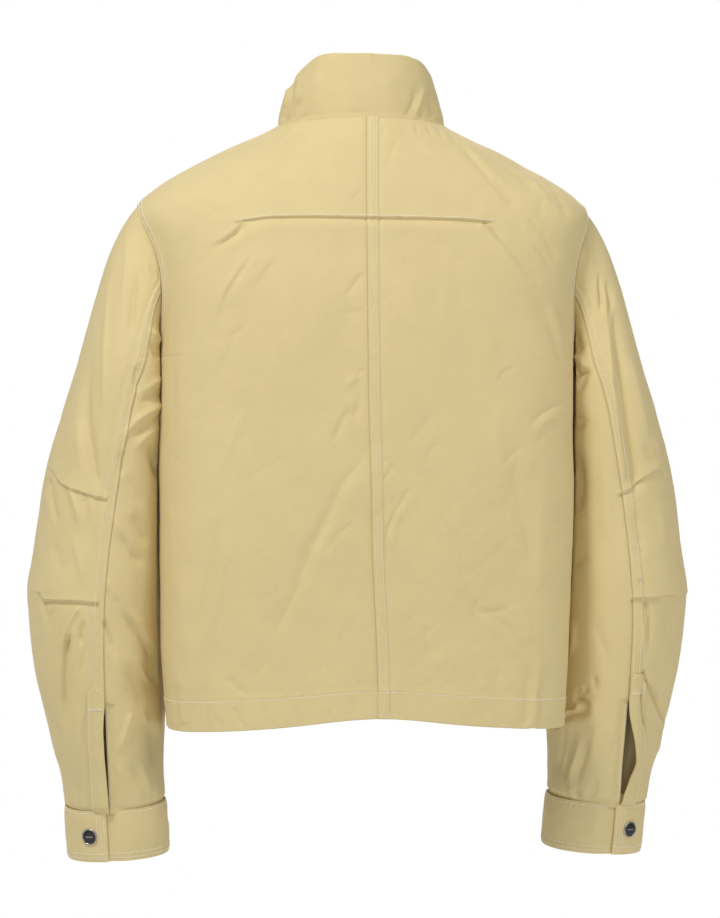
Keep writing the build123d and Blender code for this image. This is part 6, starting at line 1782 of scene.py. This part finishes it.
def lathe(name, centre, normal, along_dir, prof, mat, seg=56, squash=1.0):
    """turned metal part: profile (radius, height) about the normal"""
    n = unit(np.asarray(normal, float))
    a = unit(np.asarray(along_dir, float) - n * np.dot(along_dir, n))
    b = np.cross(n, a)
    prof = np.asarray(prof, float)
    ang = np.linspace(0, 2 * pi, seg, endpoint=False)
    ring = np.cos(ang)[:, None] * a + np.sin(ang)[:, None] * b * squash
    V = np.concatenate([centre + n * h + ring * max(r, 0.02) for r, h in prof])
    ids = np.arange(len(V)).reshape(len(prof), seg)
    nx = np.roll(ids, -1, axis=1)
    F = np.stack([ids[:-1], nx[:-1], nx[1:], ids[1:]], -1).reshape(-1, 4)
    caps = []
    for row in (ids[0], ids[-1][::-1]):
        for k in range(1, seg - 2, 2):
            caps.append([row[0], row[k], row[k + 1], row[k + 2]])
    F = np.concatenate([F, np.array(caps)[:, ::-1]])
    Nn = unit(V - (centre - n * 2.0))
    c = V[F[seg]]
    if np.dot(np.cross(c[1] - c[0], c[3] - c[0]), V[F[seg][0]] - (centre - n * 3.0)) < 0:
        F = F[:, ::-1]
    o = new_object(name, V, F, mat)
    return o


def rounded_bar(name, centre, normal, along_dir, length, width, height, mat):
    """a low bar with rounded ends and bevelled edges"""
    n = unit(np.asarray(normal, float))
    a = unit(np.asarray(along_dir, float) - n * np.dot(along_dir, n))
    b = np.cross(n, a)
    ang = np.linspace(0, 2 * pi, 40, endpoint=False)
    L = length / 2 - width / 2
    prof = [(1.0, 0.0), (1.0, 0.55), (0.82, 0.9), (0.55, 1.0)]
    V = []
    for s, h in prof:
        x = np.sign(np.cos(ang)) * L + np.cos(ang) * width / 2 * s
        y = np.sin(ang) * width / 2 * s
        V.append(centre + x[:, None] * a + y[:, None] * b + n * height * h)
    V = np.concatenate(V)
    ids = np.arange(160).reshape(4, 40)
    nx = np.roll(ids, -1, axis=1)
    F = np.stack([ids[:-1], nx[:-1], nx[1:], ids[1:]], -1).reshape(-1, 4)
    caps = []
    for row, rev in ((ids[0], True), (ids[-1], False)):
        for k in range(1, 38, 2):
            f = [row[0], row[k], row[k + 1], row[k + 2]] if k + 2 < 40 else [row[0], row[k], row[k + 1], row[k + 1]]
            caps.append(f[::-1] if rev else f)
    F = np.concatenate([F, np.array([c for c in caps if len(set(c)) == 4])])
    o = new_object(name, V, F, mat)
    return o


for sd, side in ((1, "left"), (-1, "right")):
    seed = 200 + sd
    # band
    th = np.linspace(HINGE_TH - 0.012, UNDERLAP_TH - 2 * pi, 190)
    t = np.concatenate([[0.0, 0.02, 0.045], np.linspace(0.08, 0.92, 22), [0.955, 0.98, 1.0]])
    lo = np.clip((th - (radians(96) - 2 * pi)) / -radians(16), 0, 1)
    lo = ease(lo)
    P = cuff_pt(t[:, None], th[None], 0.0)
    P = sided(P, sd)
    ctr = sided(CA + t[:, None, None] * (CB - CA) + 0 * P, sd)
    N0 = grid_normals(P, P - ctr)
    e = np.minimum(t, 1 - t)[:, None] * CUFF_LEN
    d = -(TAB_T + TAB_OUT) * lo[None] + 0.35 * ease(e / 5.0)
    d = d - 0.32 * np.exp(-((t[:, None] * CUFF_LEN - 2.4) / 0.9) ** 2) - 0.3 * np.exp(-(((1 - t[:, None]) * CUFF_LEN - 7.4) / 0.9) ** 2) - 0.25 * np.exp(-(((1 - t[:, None]) * CUFF_LEN - 2.8) / 0.8) ** 2)
    d = d + 0.45 * noise(turned(P, 1, 20), (16, 16, 12), seed) * ease(e / 9.0) + 0.16 * noise(P, (5, 5, 9), seed + 5)
    d = d + (0.36 * np.sin(th[None] * 46 + 3 * noise(P, 20, seed + 9)) * (np.exp(-((t[:, None] * CUFF_LEN - 5) / 3.0) ** 2) + np.exp(-(((1 - t[:, None]) * CUFF_LEN - 5) / 2.6) ** 2)))
    P = P + N0 * d[..., None]
    N = grid_normals(P, N0)
    o = shell(side + "_cuff_band", P, N, CUFF_T, shell_mat, uv0=(9.2, 0.3 * sd), steps=4)
    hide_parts(side + "_cuff_band")
    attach(o, side + "_lower_sleeve")
    for mm, pit in ((2.4, 2.6), (CUFF_LEN - 7.4, 2.6), (CUFF_LEN - 2.8, 2.6)):
        r = np.interp(mm / CUFF_LEN, t, np.arange(len(t)))
        i, f = int(r), r - int(r)
        stitch(side + "_cuff", P[i, 2:-2] * (1 - f) + P[i + 1, 2:-2] * f, N[i, 2:-2], pitch=pit, length=1.8)
    # tab
    th = np.concatenate([np.linspace(HINGE_TH + 0.012, TAB_TH - 0.30, 40), np.linspace(TAB_TH - 0.29, TAB_TH, 34)])
    P = sided(cuff_pt(t[:, None], th[None], 0.0), sd)
    ctr = sided(CA + t[:, None, None] * (CB - CA) + 0 * P, sd)
    N0 = grid_normals(P, P - ctr)
    cum = arc_along(P)
    free = cum[:, -1:] - cum
    e = np.minimum(np.minimum(t, 1 - t)[:, None] * CUFF_LEN + 0 * free, free)
    d = 0.45 * ease(e / 4.0)
    for c_, w_ in ((2.0, 0.75), (5.6, 0.75), (9.2, 0.75)):
        d = d - 0.3 * np.exp(-((free - c_) / w_) ** 2)
    d = d - 0.3 * np.exp(-((t[:, None] * CUFF_LEN - 2.4) / 0.9) ** 2) - 0.28 * np.exp(-(((1 - t[:, None]) * CUFF_LEN - 7.4) / 0.9) ** 2) - 0.25 * np.exp(-(((1 - t[:, None]) * CUFF_LEN - 2.8) / 0.8) ** 2)
    sp = sided(cuff_pt(0.5, radians(56), 0.0), sd)
    rr = np.linalg.norm(P - sp, axis=-1)
    d = d - 0.35 * np.exp(-((rr - 9.4) / 2.4) ** 2)
    d = d + 0.4 * noise(turned(P, 1, -30), (14, 14, 10), seed + 20) * ease(e / 8.0) * ease((rr - 8) / 5) + 0.12 * noise(P, 5, seed + 25)
    P = P + N0 * d[..., None]
    N = grid_normals(P, N0)
    o = shell(side + "_cuff_tab", P, N, TAB_T, shell_mat, uv0=(9.8, 0.3 * sd), steps=4)
    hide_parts(side + "_cuff_tab")
    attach(o, side + "_cuff_tab_body")
    for mm in (2.4, CUFF_LEN - 7.4, CUFF_LEN - 2.8):
        r = np.interp(mm / CUFF_LEN, t, np.arange(len(t)))
        i, f = int(r), r - int(r)
        stitch(side + "_tab", P[i, 1:-3] * (1 - f) + P[i + 1, 1:-3] * f, N[i, 1:-3], pitch=2.6, length=1.8)
    for dd in (2.0, 5.6, 9.2):
        Pn = np.array([[np.interp(dd, free[i, ::-1], P[i, ::-1, k]) for k in range(3)] for i in range(3, len(t) - 2)])
        Nn = np.array([[np.interp(dd, free[i, ::-1], N[i, ::-1, k]) for k in range(3)] for i in range(3, len(t) - 2)])
        stitch(side + "_tab", Pn, unit(Nn), pitch=2.5, length=1.75)
    # snap cap: a turned disc with a bright rim and a plain bar across its dished face
    n = sided(cuff_pt(0.5, radians(56), 1.0) - cuff_pt(0.5, radians(56), 0.0), sd)
    up = sided(CA - CB, sd)
    R = SNAP_D / 2
    sp = sp + unit(n) * 0.25
    face = [(R - 1.4, 0.62), (R - 1.55, 0.66), (R - 2.0, 0.72), (5.0, 0.86), (4.0, 0.97), (2.6, 1.06), (1.2, 1.10), (0.02, 1.11)]
    o = lathe(side + "_snap_face", sp, n, up, [(0.02, 0.1), (R - 1.4, 0.1)] + face, snap_mat)
    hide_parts(side + "_snap_cap")
    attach(o, side + "_cuff_tab_body")
    rim = [(R - 1.45, 0.2), (R - 1.4, 0.85), (R - 1.25, 1.12), (R - 1.0, 1.28), (R - 0.75, 1.32), (R - 0.45, 1.24), (R - 0.2, 1.02), (R - 0.04, 0.7), (R, 0.35), (R - 0.08, 0.05), (R - 0.5, -0.05), (R - 1.35, -0.05), (R - 1.45, 0.19)]
    rim = rim + [rim[0]]
    o = lathe(side + "_snap_rim", sp, n, up, rim, snap_rim_mat)
    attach(o, side + "_cuff_tab_body")
    o = rounded_bar(side + "_snap_bar", sp + unit(n) * 0.98, n, np.cross(n, up), 7.6, 1.0, 0.28, snap_rim_mat)
    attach(o, side + "_cuff_tab_body")
    for nm in (side + "_snap_socket", side + "_snap_stud"):
        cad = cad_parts[nm]
        cad.data.materials.clear()
        cad.data.materials.append(snap_rim_mat)


# ---------------------------------------------------------------- zip
ZIP_TOP_Z, ZIP_BOTTOM_Z = -17.0, -596.0
zdir = np.array([0.0, -CF_SLOPE, -1.0])
zdir = zdir / np.linalg.norm(zdir)
zout = np.array([0.0, -1.0, CF_SLOPE])
zout = zout / np.linalg.norm(zout)


def cf_at(z, out):
    return np.array([0.0, float(cf_y(z)), z]) + zout * out


# one tooth: a waisted block with a bulb towards the centre line, bevelled
def tooth(sd, z):
    prof = [(0.78, 0.42), (1.15, 0.62), (1.7, 0.62), (2.1, 0.42), (3.0, 0.46)]
    V = []
    for x, hw in prof:
        for s, o in ((-1, -2.55), (-0.82, -2.62), (0.82, -2.62), (1, -2.55), (1, -0.72), (0.82, -0.62), (-0.82, -0.62), (-1, -0.72)):
            V.append(cf_at(z + s * hw, o) + np.array([sd * x, 0, 0]))
    return np.array(V)


for sd, side in ((1, "left"), (-1, "right")):
    V, F = [], []
    zt = np.arange(ZIP_TOP_Z - 4.4 - (0.0 if sd > 0 else 1.2), ZIP_BOTTOM_Z + 9.2, -2.4)
    for z in zt:
        if z < ZIP_BOTTOM_Z + 9.6:
            continue
        b = len(V) * 40
        T = tooth(sd, z)
        ids = b + np.arange(40).reshape(5, 8)
        nx = np.roll(ids, -1, axis=1)
        F.append(np.stack([ids[:-1], nx[:-1], nx[1:], ids[1:]], -1).reshape(-1, 4))
        for row in (ids[0][::-1], ids[-1]):
            F.append(np.array([[row[0], row[1], row[2], row[3]], [row[0], row[3], row[4], row[7]], [row[4], row[5], row[6], row[7]]]))
        V.append(T)
    V, F = np.concatenate(V), np.concatenate(F)
    a, b_, c = V[F[4]][0], V[F[4]][1], V[F[4]][3]
    o = new_object("zip_teeth_" + side, V, F if sd > 0 else F[:, ::-1], teeth_mat)
    for p in o.data.polygons:
        p.use_smooth = False
    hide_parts("zip_teeth_" + side)
    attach(o, "torso")
    zz = np.linspace(ZIP_TOP_Z + 2.6, ZIP_BOTTOM_Z + 0.5, 240)
    xw = np.where(zz > -85, 5.2, 13.3)
    f = np.linspace(0, 1, 14)
    x0 = 1.9
    X = x0 + (xw[:, None] - x0) * f[None]
    P = np.array([[cf_at(z, -2.72) + np.array([sd * x, 0, 0]) for x in row] for z, row in zip(zz, X)])
    lift = 0.55 * np.exp(-((X - 2.6) / 0.7) ** 2) + 0.06 * np.sin(zz[:, None] * 2.6)
    P = P + zout * lift[..., None]
    N = grid_normals(P, zout + 0 * P)
    o = shell("zip_tape_" + side, P, N, 0.5, tape_mat, uv0=(10.4, 0.2 * sd))
    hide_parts("zip_tape_" + side)
    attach(o, "torso")
for nm in ("zip_end_box", "zip_slider_body", "zip_pull_tab", "zip_top_stop_left", "zip_top_stop_right"):
    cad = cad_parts[nm]
    cad.data.materials.clear()
    cad.data.materials.append(slider_mat)
KEY, FILL, AMBIENT = 43.0, 22.0, 0.42


# ---------------------------------------------------------------- thread, stage, light, camera
for key, rows_ in THREADS.items():
    o = thread_mesh("thread_" + key, rows_, thread_mat)
    place(o, key)
    # dark pits between the stitches: their colour is painted shade for the holes' shadow
    o = hole_shade_mesh("needle_hole_shade_" + key, rows_, hole_shade_mat)
    place(o, key)

# a plain pale floor well below the hanging jacket
fr = np.concatenate([[4.0], np.linspace(250.0, 3000.0, 12)])
fa = np.linspace(0, 2 * pi, 97)[:-1]
V = np.array([[(r * cos(a), r * sin(a), -1250.0) for a in fa] for r in fr])
ids = np.arange(V.shape[0] * 96).reshape(-1, 96)
nx = np.roll(ids, -1, axis=1)
F = np.stack([ids[:-1], nx[:-1], nx[1:], ids[1:]], -1).reshape(-1, 4)
S = Mat("pale_floor", color=(0.9, 0.9, 0.9, 1), rough=0.9, spec=0.1)
floor = new_object("pale_floor", V.reshape(-1, 3), wind(V.reshape(-1, 3), F, np.tile([0, 0, 1.0], (V.shape[0] * 96, 1))), S.m)

world = bpy.data.worlds.new("studio")
bpy.context.scene.world = world
world.use_nodes = True
wt = world.node_tree
bg = wt.nodes["Background"]
bg.inputs[0].default_value = (1.0, 1.0, 1.0, 1)
bg.inputs[1].default_value = AMBIENT
# the backdrop itself is plain white, brighter than the light that it gives
white = wt.nodes.new("ShaderNodeBackground")
white.inputs[0].default_value = (1.0, 1.0, 1.0, 1)
white.inputs[1].default_value = 1.0
lp = wt.nodes.new("ShaderNodeLightPath")
mx = wt.nodes.new("ShaderNodeMixShader")
wt.links.new(lp.outputs["Is Camera Ray"], mx.inputs[0])
wt.links.new(bg.outputs[0], mx.inputs[1])
wt.links.new(white.outputs[0], mx.inputs[2])
wt.links.new(mx.outputs[0], wt.nodes["World Output"].inputs["Surface"])


def area(name, loc, target, size, power, color=(1, 1, 1)):
    li = bpy.data.lights.new(name, "AREA")
    li.shape = "RECTANGLE"
    li.size, li.size_y = size
    li.energy = power
    li.color = color
    o = bpy.data.objects.new(name, li)
    o.location = loc
    o.rotation_euler = (Vector(target) - Vector(loc)).to_track_quat("-Z", "Y").to_euler()
    bpy.context.scene.collection.objects.link(o)
    return o


# the camera looks at the back from +Y, so its left is +X
area("key", (1.35, 1.45, 1.8), (0, 0, -0.3), (0.55, 0.55), KEY)
area("fill", (-1.9, 2.5, 0.9), (0, 0, -0.35), (1.2, 1.2), FILL)
area("front_soft", (-0.5, -2.4, 0.9), (0, 0, -0.35), (1.6, 1.6), 26.0)

cam = bpy.data.cameras.new("camera")
cam.sensor_fit = "HORIZONTAL"
cam.sensor_width = 36.0
cam.lens = 200.0
co = bpy.data.objects.new("camera", cam)
co.location = (4.0 * SA + 0.0015 * CA_, 4.0 * CA_ - 0.0015 * SA, -0.337)
co.rotation_euler = Vector((-SA, -CA_, 0)).to_track_quat("-Z", "Y").to_euler()
bpy.context.scene.collection.objects.link(co)
bpy.context.scene.camera = co
sc = bpy.context.scene
sc.view_settings.view_transform = "Standard"
sc.view_settings.look = "None"
sc.view_settings.exposure = 0.0
sc.view_settings.gamma = 1.0
